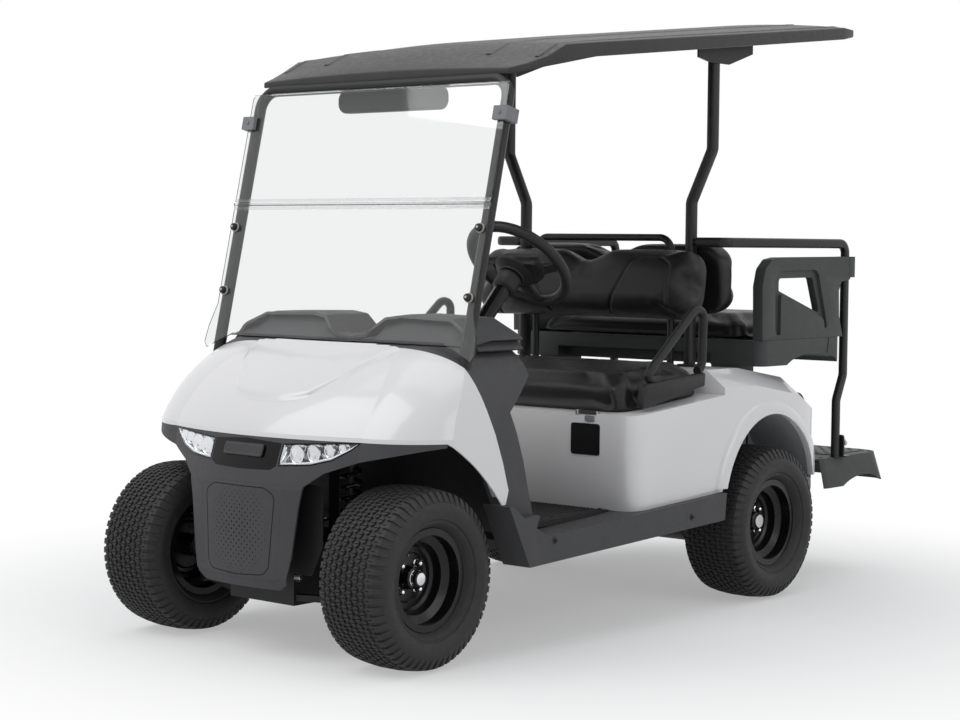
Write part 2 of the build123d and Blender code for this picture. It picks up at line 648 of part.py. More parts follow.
with BuildPart() as rear_body:
    add(pod_form(0))
    add(pod_form(WALL), mode=Mode.SUBTRACT)
    with BuildSketch(Plane.YZ.offset(-BODY_W)):
        with Locations((R, ARCH_Z)):
            Ellipse(ARCH_RX, ARCH_RZ)
    extrude(amount=2 * BODY_W, mode=Mode.SUBTRACT)
    with BuildSketch(Plane.XY.offset(POD_SEAT_Z - 60)):
        with Locations((0, POD_FRONT_Y + 255)):
            RectangleRounded(820, 380, 40)
    extrude(amount=160, mode=Mode.SUBTRACT)
    with BuildSketch(Plane.XZ.offset(-POD_REAR_Y - 10)):
        with Locations((0, POD_LOW_Z - 1)):
            Rectangle(800, 110, align=(Align.CENTER, Align.MIN))
    extrude(amount=40, mode=Mode.SUBTRACT)
rear_body.part.label = "rear_body"
export_step(rear_body.part, "parts/rear_body.step")

with BuildPart() as rear_bumper:
    with BuildSketch(Plane.YZ.offset(-460)):
        with BuildLine():
            Polyline((POD_REAR_Y + FIT, 520), (POD_REAR_Y + 50, 530), (POD_REAR_Y + 50, 600),
                     (F + 2010, 640), (F + 1985, 619 + FIT), (POD_REAR_Y + FIT, 520 + 2 * FIT), close=True)
        make_face()
    extrude(amount=920)
rear_bumper.part.label = "rear_bumper"
export_step(rear_bumper.part, "parts/rear_bumper.step")

# ---- windshield: one bent tube, two clear panes on its front, and two grey clamps
with BuildPart() as windshield_frame:
    with BuildLine(SCREEN) as post_path:
        FilletPolyline((POST_X, -POST_BURIED), (POST_X, POST_RUN), (-POST_X, POST_RUN),
                       (-POST_X, -POST_BURIED), radius=POST_BEND)
    with BuildSketch(Plane(post_path.line @ 0, x_dir=(1, 0, 0), z_dir=post_path.line % 0)):
        Circle(POST_R)
    sweep()
windshield_frame.part.label = "windshield_frame"
export_step(windshield_frame.part, "parts/windshield_frame.step")

PANE_SPLIT = 445         # along the posts from their feet
PANE_TOP = 800
PANE_HALF_W = POST_X + 18
PANE_GAP = 6
PANE_FRONT = SCREEN.offset(POST_R + FIT)
with BuildPart() as windshield_upper:
    with BuildSketch(PANE_FRONT):
        with Locations((0, (PANE_SPLIT + PANE_TOP) / 2)):
            RectangleRounded(2 * PANE_HALF_W, PANE_TOP - PANE_SPLIT - PANE_GAP, 14)
    extrude(amount=PANE_T)
windshield_upper.part.label = "windshield_upper"
export_step(windshield_upper.part, "parts/windshield_upper.step")

PANE_LOW = 40
with BuildPart() as windshield_lower:
    with BuildSketch(PANE_FRONT):
        with BuildLine():
            Polyline((0, PANE_LOW), (430, PANE_LOW), (540, -8), (552, 10), (545, 60), (PANE_HALF_W, 130),
                     (PANE_HALF_W, PANE_SPLIT - PANE_GAP / 2), (0, PANE_SPLIT - PANE_GAP / 2), close=True)
        make_face()
        mirror(about=Plane.YZ)
    extrude(amount=PANE_T)
windshield_lower.part.label = "windshield_lower"
export_step(windshield_lower.part, "parts/windshield_lower.step")

CLAMP_H = 706
with BuildPart() as windshield_clamps:
    with BuildSketch(SCREEN.offset(-POST_R)):
        with Locations((POST_X + 9, CLAMP_H)):
            Rectangle(50, 40)
    extrude(amount=2 * POST_R + PANE_T + 14)
    with BuildSketch(PANE_FRONT.offset(-FIT)):
        with Locations((0, CLAMP_H)):
            Rectangle(2 * PANE_HALF_W + 2 * FIT, 60)
    extrude(amount=PANE_T + 2 * FIT, mode=Mode.SUBTRACT)
    with BuildSketch(Plane(SCREEN.from_local_coords((POST_X, CLAMP_H - 40, 0)),
                           x_dir=(1, 0, 0), z_dir=(0, POST_SIN, POST_COS))):
        Circle(POST_R + FIT)
        with Locations((-30, 0)):
            Rectangle(60, 2 * POST_R + 2 * FIT)
    extrude(amount=80, mode=Mode.SUBTRACT)
    mirror(about=Plane.YZ)
windshield_clamps.part.label = "windshield_clamps"
export_step(windshield_clamps.part, "parts/windshield_clamps.step")

# ---- roof: a crowned moulding, hollow below, that climbs towards the back
# y, half width, lower edge z, side height, crown
ROOF_SECTIONS = [
    (360, 500, 1656, 18, 12),
    (480, 545, 1684, 26, 46),
    (700, 558, 1728, 34, 58),
    (1160, 560, 1781, 36, 62),
    (2130, 552, 1893, 34, 52),
    (2250, 520, 1918, 12, 20),
]


def roof_form(inset, skin):
    """Outer form of the roof, or the hollow inside its skin."""
    with BuildPart() as form:
        for y, half_w, low_z, side_h, crown in ROOF_SECTIONS:
            at_end = (1 if y == ROOF_SECTIONS[0][0] else -1 if y == ROOF_SECTIONS[-1][0] else 0)
            top = max(side_h - skin, 2)
            with BuildSketch(Plane.XZ.offset(-F - y - at_end * inset)):
                with BuildLine():
                    w = half_w - inset
                    low = low_z - skin
                    Polyline((-w, low_z + top), (-w, low), (w, low), (w, low_z + top))
                    ThreePointArc((w, low_z + top), (0, low_z + top + crown), (-w, low_z + top))
                make_face()
        loft(ruled=True)
    return form.part


with BuildPart() as roof:
    add(roof_form(0, 0))
    add(roof_form(14, ROOF_SKIN), mode=Mode.SUBTRACT)
    with BuildSketch(Plane.YZ.offset(-POST_X)):
        with Locations(POST_TOP):
            Circle(POST_R + FIT)
    extrude(amount=2 * POST_X, mode=Mode.SUBTRACT)
roof.part.label = "roof"
export_step(roof.part, "parts/roof.step")

STRUT_FOOT_Z = POD_DECK_Z
ROOF_BRACKET_Z = 1770
ROOF_BRACKET_TOP_Z = 1858
with BuildPart() as roof_struts:
    with BuildLine(Plane.XZ.offset(-STRUT_Y)) as strut_path:
        FilletPolyline((STRUT_LOW_X, STRUT_FOOT_Z), (STRUT_LOW_X, 1318), (STRUT_TOP_X, 1490),
                       (STRUT_TOP_X, 1796), radius=45)
    with BuildSketch(Plane(strut_path.line @ 0, x_dir=(1, 0, 0), z_dir=strut_path.line % 0)):
        Circle(STRUT_R)
    sweep()
    with BuildSketch(Plane.XY.offset(STRUT_FOOT_Z)):
        with Locations((STRUT_LOW_X, STRUT_Y)):
            RectangleRounded(70, 56, 10)
    extrude(amount=8)
    with BuildSketch(Plane.YZ.offset(STRUT_TOP_X + STRUT_R)):
        with BuildLine():
            Polyline((STRUT_Y - 120, ROOF_BRACKET_Z + 12), (STRUT_Y - 120, ROOF_BRACKET_TOP_Z),
                     (STRUT_Y + 200, ROOF_BRACKET_TOP_Z + 37), (STRUT_Y + 200, ROOF_BRACKET_Z + 44),
                     (STRUT_Y + 60, ROOF_BRACKET_Z), (STRUT_Y - 50, ROOF_BRACKET_Z), close=True)
        make_face()
    extrude(amount=6)
    add(roof.part, mode=Mode.SUBTRACT)
    mirror(about=Plane.YZ)
roof_struts.part.label = "roof_struts"
export_step(roof_struts.part, "parts/roof_struts.step")

MIRROR_Y = F + 416
MIRROR_Z = 1604
MIRROR_ARM_X = 165
MIRROR_ARM_TOP_Z = 1709
with BuildPart() as mirror_bar:
    with BuildSketch(Plane.XZ.offset(-MIRROR_Y + 14)):
        with Locations((0, MIRROR_Z)):
            RectangleRounded(430, 70, 30)
    extrude(amount=-28)
    fillet(mirror_bar.edges().filter_by(GeomType.LINE).group_by(Axis.Y)[0], 8)
    with BuildSketch(Plane.XZ.offset(-MIRROR_Y + 5)):
        with Locations((-MIRROR_ARM_X, MIRROR_Z + 30), (MIRROR_ARM_X, MIRROR_Z + 30)):
            Rectangle(14, MIRROR_ARM_TOP_Z - MIRROR_Z - 30, align=(Align.CENTER, Align.MIN))
    extrude(amount=-10)
    add(roof.part, mode=Mode.SUBTRACT)
mirror_bar.part.label = "mirror"
export_step(mirror_bar.part, "parts/mirror.step")

# ---- steering wheel on its tilted column
with BuildPart() as steering_wheel:
    with BuildSketch(Plane(HELM.from_local_coords((WHEEL_RIM_R, 0, 0)), x_dir=(1, 0, 0), z_dir=HELM.y_dir)):
        Circle(WHEEL_GRIP_R)
    revolve(axis=Axis(HELM.origin, HELM.z_dir))
    with BuildSketch(HELM.offset(-HUB_DEPTH)):
        Circle(46)
    extrude(amount=40)
    for spoke_angle in (0, 180, 90):
        with BuildSketch(HELM.offset(-26)):
            with PolarLocations(0, 1, start_angle=spoke_angle):
                with Locations((WHEEL_RIM_R / 2 + 10, 0)):
                    Rectangle(WHEEL_RIM_R - 20, 36)
        extrude(amount=16)
    with BuildSketch(HELM.offset(-HUB_DEPTH - 60)):
        Circle(SPINDLE_R)
    extrude(amount=62)
steering_wheel.part.label = "steering_wheel"
export_step(steering_wheel.part, "parts/steering_wheel.step")

with BuildPart() as steering_column:
    with BuildSketch(HELM.offset(-HUB_DEPTH - 6)):
        Circle(COLUMN_R)
    extrude(amount=-COLUMN_LEN)
    with BuildSketch(HELM.offset(-HUB_DEPTH - 6)):
        Circle(SPINDLE_R + RUNNING_FIT)
    extrude(amount=-60, mode=Mode.SUBTRACT)
steering_column.part.label = "steering_column"
export_step(steering_column.part, "parts/steering_column.step")

# ---- front seat: lid cushion hinged at its back edge, backrest, U-shaped carrier, hip restraints
CUSHION_D = 455
CUSHION_T = 100
SEAT = Plane((0, POD_FRONT_Y + 30, seat_line_z(POD_FRONT_Y + 30) + FIT), x_dir=(1, 0, 0),
             z_dir=(0, -math.sin(math.radians(SEAT_TILT)), math.cos(math.radians(SEAT_TILT))))
with BuildPart() as front_seat_cushion:
    with BuildSketch(SEAT):
        RectangleRounded(CUSHION_W, CUSHION_D, 60, align=(Align.CENTER, Align.MIN))
    extrude(amount=CUSHION_T)
    fillet(front_seat_cushion.faces().sort_by(Axis.Z)[-1].edges(), 32)
front_seat_cushion.part.label = "front_seat_cushion"
export_step(front_seat_cushion.part, "parts/front_seat_cushion.step")

BACK_LEAN = 10
BACK_T = 90
BACK_OUTLINE = [(0, 205), (25, 205), (110, 245), (420, 245), (465, 200), (465, 40), (430, 0), (0, 0)]
FRONT_BACK = Plane((0, F + 1331, 934), x_dir=(1, 0, 0),
                   z_dir=(0, -math.cos(math.radians(BACK_LEAN)), math.sin(math.radians(BACK_LEAN))))
with BuildPart() as front_seat_back:
    with BuildSketch(FRONT_BACK):
        with BuildLine():
            Polyline(*BACK_OUTLINE, close=True)
        make_face()
        mirror(about=Plane.YZ)
    extrude(amount=-BACK_T)
    fillet(front_seat_back.faces().sort_by(Axis.Y)[0].edges(), 20)
front_seat_back.part.label = "front_seat_back"
export_step(front_seat_back.part, "parts/front_seat_back.step")

REAR_LEAN = 6
REAR_BACK_T = 105
REAR_BACK = Plane((0, F + 1648, 948), x_dir=(-1, 0, 0),
                  z_dir=(0, math.cos(math.radians(REAR_LEAN)), math.sin(math.radians(REAR_LEAN))))
with BuildPart() as rear_seat_back:
    with BuildSketch(REAR_BACK):
        with BuildLine():
            Polyline(*BACK_OUTLINE, close=True)
        make_face()
        mirror(about=Plane.YZ)
    extrude(amount=-REAR_BACK_T)
    fillet(rear_seat_back.faces().sort_by(Axis.Y)[-1].edges(), 20)
rear_seat_back.part.label = "rear_seat_back"
export_step(rear_seat_back.part, "parts/rear_seat_back.step")

CARRIER_Y = F + 1481
CARRIER_X = 288
CARRIER_R = 12
BACK_BRACKET_Z = 1000
with BuildPart() as seat_back_frame:
    with BuildLine(Plane.XZ.offset(-CARRIER_Y)) as carrier_path:
        FilletPolyline((CARRIER_X, POD_DECK_Z), (CARRIER_X, 1200), (-CARRIER_X, 1200), (-CARRIER_X, POD_DECK_Z), radius=50)
    with BuildSketch(Plane(carrier_path.line @ 0, x_dir=(1, 0, 0), z_dir=carrier_path.line % 0)):
        Circle(CARRIER_R)
    sweep()
    with BuildSketch(Plane.XY.offset(BACK_BRACKET_Z)):
        with Locations((CARRIER_X - 30, CARRIER_Y), (30 - CARRIER_X, CARRIER_Y)):
            Rectangle(60, 160)
    extrude(amount=30)
    for back_plane in (FRONT_BACK.offset(-BACK_T - FIT), REAR_BACK.offset(-REAR_BACK_T - FIT)):
        with BuildSketch(back_plane):
            Rectangle(2 * CARRIER_X + 60, 600)
        extrude(amount=100, mode=Mode.SUBTRACT)
seat_back_frame.part.label = "seat_back_frame"
export_step(seat_back_frame.part, "parts/seat_back_frame.step")

HIP_X = 520
HIP_T = 30
HIP_OUTLINE = [(965, 745), (1130, 885), (1262, 985), (1318, 975), (1318, 770)]
with BuildPart() as hip_restraints:
    with BuildSketch(Plane.YZ.offset(HIP_X)):
        with BuildLine():
            Polyline((F + 965, seat_line_z(F + 965) + FIT), *[(F + y, z) for y, z in HIP_OUTLINE],
                     (F + 1318, seat_line_z(F + 1318) + FIT), close=True)
        make_face()
        offset(amount=-30, mode=Mode.SUBTRACT)
    extrude(amount=HIP_T)
    mirror(about=Plane.YZ)
hip_restraints.part.label = "hip_restraints"
export_step(hip_restraints.part, "parts/hip_restraints.step")

# ---- rear seat kit: pan on the body, flip cushion, armrests, side rails and footplate
PAN_Z = 772
PAN_TOP_Z = 860
PAN_Y0, PAN_Y1 = F + 1660, F + 2175
PAN_HALF_W = 535
with BuildPart() as rear_seat_pan:
    with BuildSketch(Plane.XY.offset(PAN_Z)):
        with Locations((0, (PAN_Y0 + PAN_Y1) / 2)):
            RectangleRounded(2 * PAN_HALF_W, PAN_Y1 - PAN_Y0, 40)
    extrude(amount=PAN_TOP_Z - PAN_Z)
    with BuildSketch(Plane.XY.offset(PAN_Z)):
        with Locations((0, (PAN_Y0 + PAN_Y1) / 2)):
            RectangleRounded(2 * PAN_HALF_W - 16, PAN_Y1 - PAN_Y0 - 16, 32)
    extrude(amount=PAN_TOP_Z - PAN_Z - 8, mode=Mode.SUBTRACT)
    with BuildSketch(Plane.YZ.offset(300)):
        with BuildLine():
            Polyline((F + 1668, 756), (F + 1800, 735), (F + 1800, 830), (F + 1668, 830), close=True)
        make_face()
    extrude(amount=60)
    with BuildSketch(Plane.YZ.offset(-360)):
        with BuildLine():
            Polyline((F + 1668, 756), (F + 1800, 735), (F + 1800, 853), (F + 1668, 853), close=True)
        make_face()
    extrude(amount=60)
rear_seat_pan.part.label = "rear_seat_pan"
export_step(rear_seat_pan.part, "parts/rear_seat_pan.step")

REAR_CUSHION_T = 72
REAR_CUSHION_HALF_W = 450
with BuildPart() as rear_seat_cushion:
    with BuildSketch(Plane.XY.offset(PAN_TOP_Z + FIT)):
        with Locations((0, PAN_Y0 + 10)):
            RectangleRounded(2 * REAR_CUSHION_HALF_W, PAN_Y1 - PAN_Y0 - 14, 40,
                             align=(Align.CENTER, Align.MIN))
    extrude(amount=REAR_CUSHION_T)
    fillet(rear_seat_cushion.faces().sort_by(Axis.Z)[-1].edges(), 24)
rear_seat_cushion.part.label = "rear_seat_cushion"
export_step(rear_seat_cushion.part, "parts/rear_seat_cushion.step")

ARM_X = 497
ARM_T = 38
with BuildPart() as armrests:
    with BuildSketch(Plane.YZ.offset(ARM_X)):
        with BuildLine():
            Polyline((F + 1672, PAN_TOP_Z), (F + 1672, 1075), (F + 1715, 1135), (F + 2160, 1140),
                     (F + 2160, PAN_TOP_Z), close=True)
        make_face()
        with BuildLine():
            Polyline((F + 1762, 1020), (F + 1762, 1078), (F + 1992, 1078), (F + 2040, 950), close=True)
        make_face(mode=Mode.SUBTRACT)
    extrude(amount=ARM_T)
    mirror(about=Plane.YZ)
armrests.part.label = "armrests"
export_step(armrests.part, "parts/armrests.step")

SIDE_RAIL_X = 505
SIDE_RAIL_R = 12
RAIL_TOP_Z = 1185
with BuildPart() as side_rails:
    with BuildLine() as rail_path:
        FilletPolyline((SIDE_RAIL_X, F + 2195, PLATE_TOP_Z), (SIDE_RAIL_X, F + 2195, 632),
                       (SIDE_RAIL_X, F + 2238, 720), (SIDE_RAIL_X, F + 2238, RAIL_TOP_Z),
                       (SIDE_RAIL_X - 20, STRUT_Y, RAIL_TOP_Z), (STRUT_LOW_X + STRUT_R + FIT, STRUT_Y, RAIL_TOP_Z),
                       radius=35)
    with BuildSketch(Plane(rail_path.line @ 0, x_dir=(1, 0, 0), z_dir=rail_path.line % 0)):
        Circle(SIDE_RAIL_R)
    sweep()
    mirror(about=Plane.YZ)
side_rails.part.label = "side_rails"
export_step(side_rails.part, "parts/side_rails.step")

PLATE_SKIRT_Z = 315
TREAD_RISE = 3           # the treaded field stands this much above the plate
PLATE_Y0, PLATE_Y1 = F + 2065, LENGTH / 2
with BuildPart() as footplate:
    with BuildSketch(Plane.XY.offset(PLATE_TOP_Z)):
        with Locations((0, PLATE_Y1)):
            RectangleRounded(FOOTPLATE_W, PLATE_Y1 - PLATE_Y0, 50, align=(Align.CENTER, Align.MAX))
    extrude(amount=PLATE_SKIRT_Z - PLATE_TOP_Z)
    with BuildSketch(Plane.XY.offset(PLATE_TOP_Z - PLATE_SKIN)):
        with Locations((0, PLATE_Y1 - PLATE_SKIN)):
            RectangleRounded(FOOTPLATE_W - 2 * PLATE_SKIN, PLATE_Y1 - PLATE_Y0 + 60, 50 - PLATE_SKIN,
                             align=(Align.CENTER, Align.MAX))
    extrude(amount=PLATE_SKIRT_Z - PLATE_TOP_Z, mode=Mode.SUBTRACT)
    with BuildSketch(Plane.XY.offset(PLATE_TOP_Z)):
        with Locations((0, (F + 2230 + PLATE_Y1 - 25) / 2)):
            RectangleRounded(FOOTPLATE_W - 90, PLATE_Y1 - 25 - F - 2230, 40)
    extrude(amount=TREAD_RISE)
footplate.part.label = "footplate"
export_step(footplate.part, "parts/footplate.step")

# ---- pedals: pads on short arms from the toe board; x and pad width, brake then accelerator
TOE_RUN = math.hypot(TOE_Y - FIREWALL_Y, TOE_TOP_Z - FLOOR_Z - FLOOR_T)
TOE = Plane((0, TOE_Y + FLOOR_T, FLOOR_Z + FLOOR_T), x_dir=(1, 0, 0),
            z_dir=(0, (TOE_TOP_Z - FLOOR_Z - FLOOR_T) / TOE_RUN, (TOE_Y - FIREWALL_Y) / TOE_RUN))
with BuildPart() as pedals:
    for pedal_x, pedal_w in ((310, 90), (190, 64)):
        with BuildSketch(TOE):
            with Locations((pedal_x, -90)):
                Rectangle(22, 50)
        extrude(amount=30)
        with BuildSketch(TOE.offset(30)):
            with Locations((pedal_x, -80)):
                RectangleRounded(pedal_w, 90, 12)
        extrude(amount=9)
pedals.part.label = "pedals"
export_step(pedals.part, "parts/pedals.step")
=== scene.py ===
import json
from math import atan2, ceil, cos, hypot, pi, radians, sin, sqrt, tan

import bmesh
import bpy
import numpy as np
from mathutils import Matrix, Vector
from mathutils.bvhtree import BVHTree


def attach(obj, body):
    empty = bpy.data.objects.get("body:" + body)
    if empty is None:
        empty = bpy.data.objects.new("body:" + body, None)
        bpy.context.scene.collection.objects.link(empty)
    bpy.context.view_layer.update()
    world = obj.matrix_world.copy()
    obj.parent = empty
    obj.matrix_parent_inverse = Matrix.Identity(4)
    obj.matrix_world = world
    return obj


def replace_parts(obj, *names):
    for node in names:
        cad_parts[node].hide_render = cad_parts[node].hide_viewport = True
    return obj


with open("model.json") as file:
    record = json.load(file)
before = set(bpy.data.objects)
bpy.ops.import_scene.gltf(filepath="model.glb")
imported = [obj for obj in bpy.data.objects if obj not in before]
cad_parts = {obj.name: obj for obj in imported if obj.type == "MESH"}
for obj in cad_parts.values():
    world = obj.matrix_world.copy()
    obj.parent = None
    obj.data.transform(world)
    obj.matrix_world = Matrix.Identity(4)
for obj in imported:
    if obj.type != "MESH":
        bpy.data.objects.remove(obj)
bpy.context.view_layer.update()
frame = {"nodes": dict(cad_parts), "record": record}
nodes = frame["nodes"]

FRONT_AXLE_Y = -1.143    # m, the front axle in the frame
X, Y, Z = Vector((1, 0, 0)), Vector((0, 1, 0)), Vector((0, 0, 1))
SIDES = {1: "left", -1: "right"}    # by the sign of x
ROUND = 2 * pi


def at(x, y, z):
    """A point given in millimetres, y from the front axle, in the frame's metres."""
    return Vector((x / 1000, FRONT_AXLE_Y + y / 1000, z / 1000))


def shown(name, data):
    """A new object in the scene, for a mesh, a light or a camera."""
    obj = bpy.data.objects.new(name, data)
    bpy.context.scene.collection.objects.link(obj)
    return obj


# ---------------------------------------------------------------- materials
# Object coordinates are metres, so a texture scale of 1000 has features of about 1 mm.

def add_node(tree, kind, inputs, **settings):
    """A shader node whose inputs are numbers, colours or other nodes' outputs."""
    node = tree.nodes.new("ShaderNode" + kind)
    for key, value in settings.items():
        setattr(node, key, value)
    for key, value in inputs.items():
        if isinstance(value, bpy.types.NodeSocket):
            tree.links.new(value, node.inputs[key])
        else:
            node.inputs[key].default_value = value
    return node


def surface(name, colour, roughness, tone=None, wear=None, bumps=(), **sockets):
    """A procedural material.

    tone: scale and detail of a noise, and the shares of the colour that it runs between
    wear: scale and detail of a noise, and the roughness that it runs between
    bumps: texture, scale, detail and height in metres of each bump, the later ones over the earlier
    """
    mat = bpy.data.materials.new(name)
    mat.use_nodes = True
    tree = mat.node_tree
    shader = tree.nodes["Principled BSDF"]
    for key, value in {"Base_Color": (*colour, 1), "Roughness": roughness, **sockets}.items():
        shader.inputs[key.replace("_", " ")].default_value = value
    coords = add_node(tree, "TexCoord", {}).outputs["Object"]

    def noise(scale, detail):
        return add_node(tree, "TexNoise", {"Scale": scale, "Detail": detail, "Vector": coords}).outputs["Fac"]

    if tone:
        scale, detail, dark, light = tone
        dark, light = ((*(min(c * share, 1) for c in colour), 1) for share in (dark, light))
        mix = add_node(tree, "Mix", {0: noise(scale, detail), 6: dark, 7: light}, data_type="RGBA")
        tree.links.new(mix.outputs[2], shader.inputs["Base Color"])
    if wear:
        scale, detail, low, high = wear
        run = add_node(tree, "MapRange", {"Value": noise(scale, detail), "From Min": 0.3, "From Max": 0.7,
                                          "To Min": low, "To Max": high})
        tree.links.new(run.outputs["Result"], shader.inputs["Roughness"])
    for texture, scale, detail, height in bumps:
        if texture == "cells":
            field = add_node(tree, "TexVoronoi", {"Scale": scale, "Vector": coords}).outputs["Distance"]
        else:
            field = noise(scale, detail)
        below = {"Normal": link.from_socket for link in shader.inputs["Normal"].links}
        bump = add_node(tree, "Bump", {"Distance": height, "Height": field, **below})
        tree.links.new(bump.outputs["Normal"], shader.inputs["Normal"])
    return mat


def gel_coat(name, colour):
    return surface(name, colour, 0.3, (3, 0, 0.985, 1.01), (6, 0, 0.28, 0.32), Coat_Weight=0.6, Coat_Roughness=0.06)


def grained(name, colour, roughness=0.55, grain=900):
    """Moulded plastic with a fine leathery grain."""
    return surface(name, colour, roughness, (14, 4, 0.85, 1.15), (60, 3, roughness - 0.05, roughness + 0.06),
                   (("cells", grain, 0, 0.00012), ("noise", grain * 2.4, 2, 0.00004)), Specular_IOR_Level=0.26)


def powder(name, colour, roughness=0.36, gloss=0.28):
    """Powder-coated or painted steel with its fine orange peel."""
    return surface(name, colour, roughness, (9, 4, 0.85, 1.2), (80, 3, roughness - 0.05, roughness + 0.06),
                   (("noise", 1300, 2, 0.00005),), Specular_IOR_Level=gloss)


def rubber(name, colour, roughness):
    return surface(name, colour, roughness, (22, 5, 0.75, 1.35), (90, 4, roughness - 0.08, roughness + 0.1),
                   (("noise", 1500, 3, 0.00012),), Specular_IOR_Level=0.3)


def vinyl(name, colour):
    """Seat vinyl: fine pebbled grain over soft wrinkles."""
    return surface(name, colour, 0.42, (10, 4, 0.85, 1.25), (50, 4, 0.37, 0.5),
                   (("cells", 620, 0, 0.00016), ("noise", 30, 3, 0.0006)), Specular_IOR_Level=0.32)


def metal(name, colour, roughness, grain=600):
    return surface(name, colour, roughness, (25, 4, 0.85, 1.1), (grain, 3, roughness * 0.8, roughness * 1.25),
                   (("noise", grain * 2, 2, 0.00003),), Metallic=1.0)


def clear(name, colour, roughness=0.02):
    """Clear acrylic or glass in sheets, with the faint haze of fine scuffs."""
    return surface(name, colour, roughness, None, (8, 5, roughness * 0.5, roughness * 1.6),
                   Transmission_Weight=1.0, IOR=1.45)


MATERIALS = {            # by material slot
    "white_body": gel_coat("white_gel_coat", (0.785, 0.777, 0.782)),
    "grey_plastic": grained("grained_dark_grey", (0.0626, 0.0625, 0.0654)),
    "black_plastic": grained("grained_black", (0.018, 0.018, 0.019), 0.48),
    "kit_plastic": grained("grained_green_grey", (0.054, 0.059, 0.058), 0.52),
    "black_steel": powder("powder_black", (0.014, 0.014, 0.015)),
    "chassis_steel": powder("chassis_black", (0.017, 0.017, 0.018), 0.5),
    "knuckle_metal": metal("bare_casting", (0.42, 0.42, 0.43), 0.42),
    "wheel_steel": powder("wheel_black", (0.007, 0.007, 0.0072), 0.24),
    "tyre_rubber": rubber("tyre_rubber", (0.028, 0.0278, 0.0278), 0.6),
    "lamp_glass": clear("lamp_lens", (0.97, 0.98, 0.99), 0.01),
    "screen_clear": clear("acrylic_sheet", (0.865, 0.875, 0.876)),
    "clamp_grey": grained("grained_mid_grey", (0.22, 0.225, 0.235), 0.5),
    "roof_plastic": grained("roof_charcoal", (0.037, 0.0365, 0.038), 0.46, 700),
    "seat_vinyl": vinyl("seat_vinyl", (0.011, 0.011, 0.0115)),
    "motor_paint": powder("motor_black", (0.02, 0.02, 0.022), 0.45),
    "battery_case": grained("battery_case", (0.03, 0.03, 0.034)),
}
CHROME = metal("chrome", (0.72, 0.72, 0.74), 0.1, 300)
ZINC = metal("zinc_plate", (0.5, 0.5, 0.51), 0.3)
# Near-black that stands for the shade inside holes, slots and grooves: painted shade.
PAINTED_RECESS_SHADE = powder("painted_recess_shade", (0.004, 0.004, 0.004), 0.8)
LINER_GREY = grained("liner_grey", (0.34, 0.35, 0.36), 0.55)
LAMP_SILVER = metal("lamp_reflector", (0.78, 0.79, 0.8), 0.12, 200)
GLOSS_BLACK = powder("gloss_black", (0.004, 0.004, 0.0045), 0.16, 0.2)


def paint(obj, mat):
    obj.data.materials.clear()
    obj.data.materials.append(mat)


for subpart in frame["record"]["subparts"]:
    paint(nodes[subpart["node"]], MATERIALS[subpart["material_slot"]])
for pane in ("windshield_upper", "windshield_lower", "headlamps"):
    nodes[pane].visible_shadow = False


# ---------------------------------------------------------------- building pieces

def mesh_of(name, bm):
    """A mesh from what has been built, its faces turned outwards."""
    mesh = bpy.data.meshes.new(name)
    bmesh.ops.recalc_face_normals(bm, faces=bm.faces)
    bm.to_mesh(mesh)
    bm.free()
    return mesh


def solid(name, bm):
    return shown(name, mesh_of(name, bm))


def dressed(obj, slot, mat=None, body="chassis", smooth=35):
    """An object as a piece that rides on a body, smooth but for edges sharper than an angle."""
    paint(obj, mat or MATERIALS[slot])
    obj.data.polygons.foreach_set("use_smooth", [True] * len(obj.data.polygons))
    obj.data.set_sharp_from_angle(angle=radians(smooth))
    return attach(obj, body)


def piece(name, bm, slot, mat=None, body="chassis", smooth=35):
    return dressed(solid(name, bm), slot, mat, body, smooth)


def made_of(name, slot, mat, *shapes, **more):
    """A piece made of shapes, each given as its function and what follows the mesh in it."""
    bm = bmesh.new()
    for shape, *values in shapes:
        shape(bm, *values)
    return piece(name, bm, slot, mat, **more)


def square_to(axis):
    """Two directions square to an axis and to each other."""
    axis = Vector(axis).normalized()
    side = axis.cross(Z if abs(axis.z) < 0.9 else X).normalized()
    return side, axis.cross(side)


def rings(bm, loops, closed_round=True, closed_along=False, caps=True):
    """Skin over a row of vertex loops that all have the same count."""
    rows = [[bm.verts.new(p) for p in loop] for loop in loops]
    count = len(rows[0])
    pairs = list(zip(rows, rows[1:])) + ([(rows[-1], rows[0])] if closed_along else [])
    for a, b in pairs:
        for i in range(count if closed_round else count - 1):
            j = (i + 1) % count
            bm.faces.new((a[i], a[j], b[j], b[i]))
    if caps and not closed_along:
        bm.faces.new(rows[0])
        bm.faces.new(reversed(rows[-1]))


def form(name, loops):
    """A closed form over a row of vertex loops."""
    bm = bmesh.new()
    rings(bm, loops)
    return solid(name, bm)


def strip(bm, rows):
    """A skin over rows that stay open at their ends."""
    rings(bm, rows, closed_round=False, caps=False)


def turns(steps):
    return [ROUND * k / steps for k in range(steps)]


def lathe(bm, profile, origin, axis, steps=32, caps=True):
    """A turned form. The profile gives along and radius, in millimetres."""
    axis = Vector(axis).normalized()
    u, v = square_to(axis)
    rings(bm, [[origin + axis * (along / 1000) + (u * cos(a) + v * sin(a)) * (radius / 1000)
                for a in turns(steps)] for along, radius in profile], caps=caps)


def swept(bm, points, sections, side=None, closed=False):
    """A bar along points, with a section for each point, its outline in millimetres."""
    count = len(points)
    loops = []
    for i, p in enumerate(points):
        before = points[i - 1] if i > 0 or closed else p
        after = points[(i + 1) % count] if i < count - 1 or closed else p
        along = (after - before).normalized()
        side = square_to(along)[0] if side is None else (side - along * side.dot(along)).normalized()
        up = along.cross(side)
        loops.append([p + (side * x + up * y) / 1000 for x, y in sections[i]])
    rings(bm, loops, closed_along=closed)


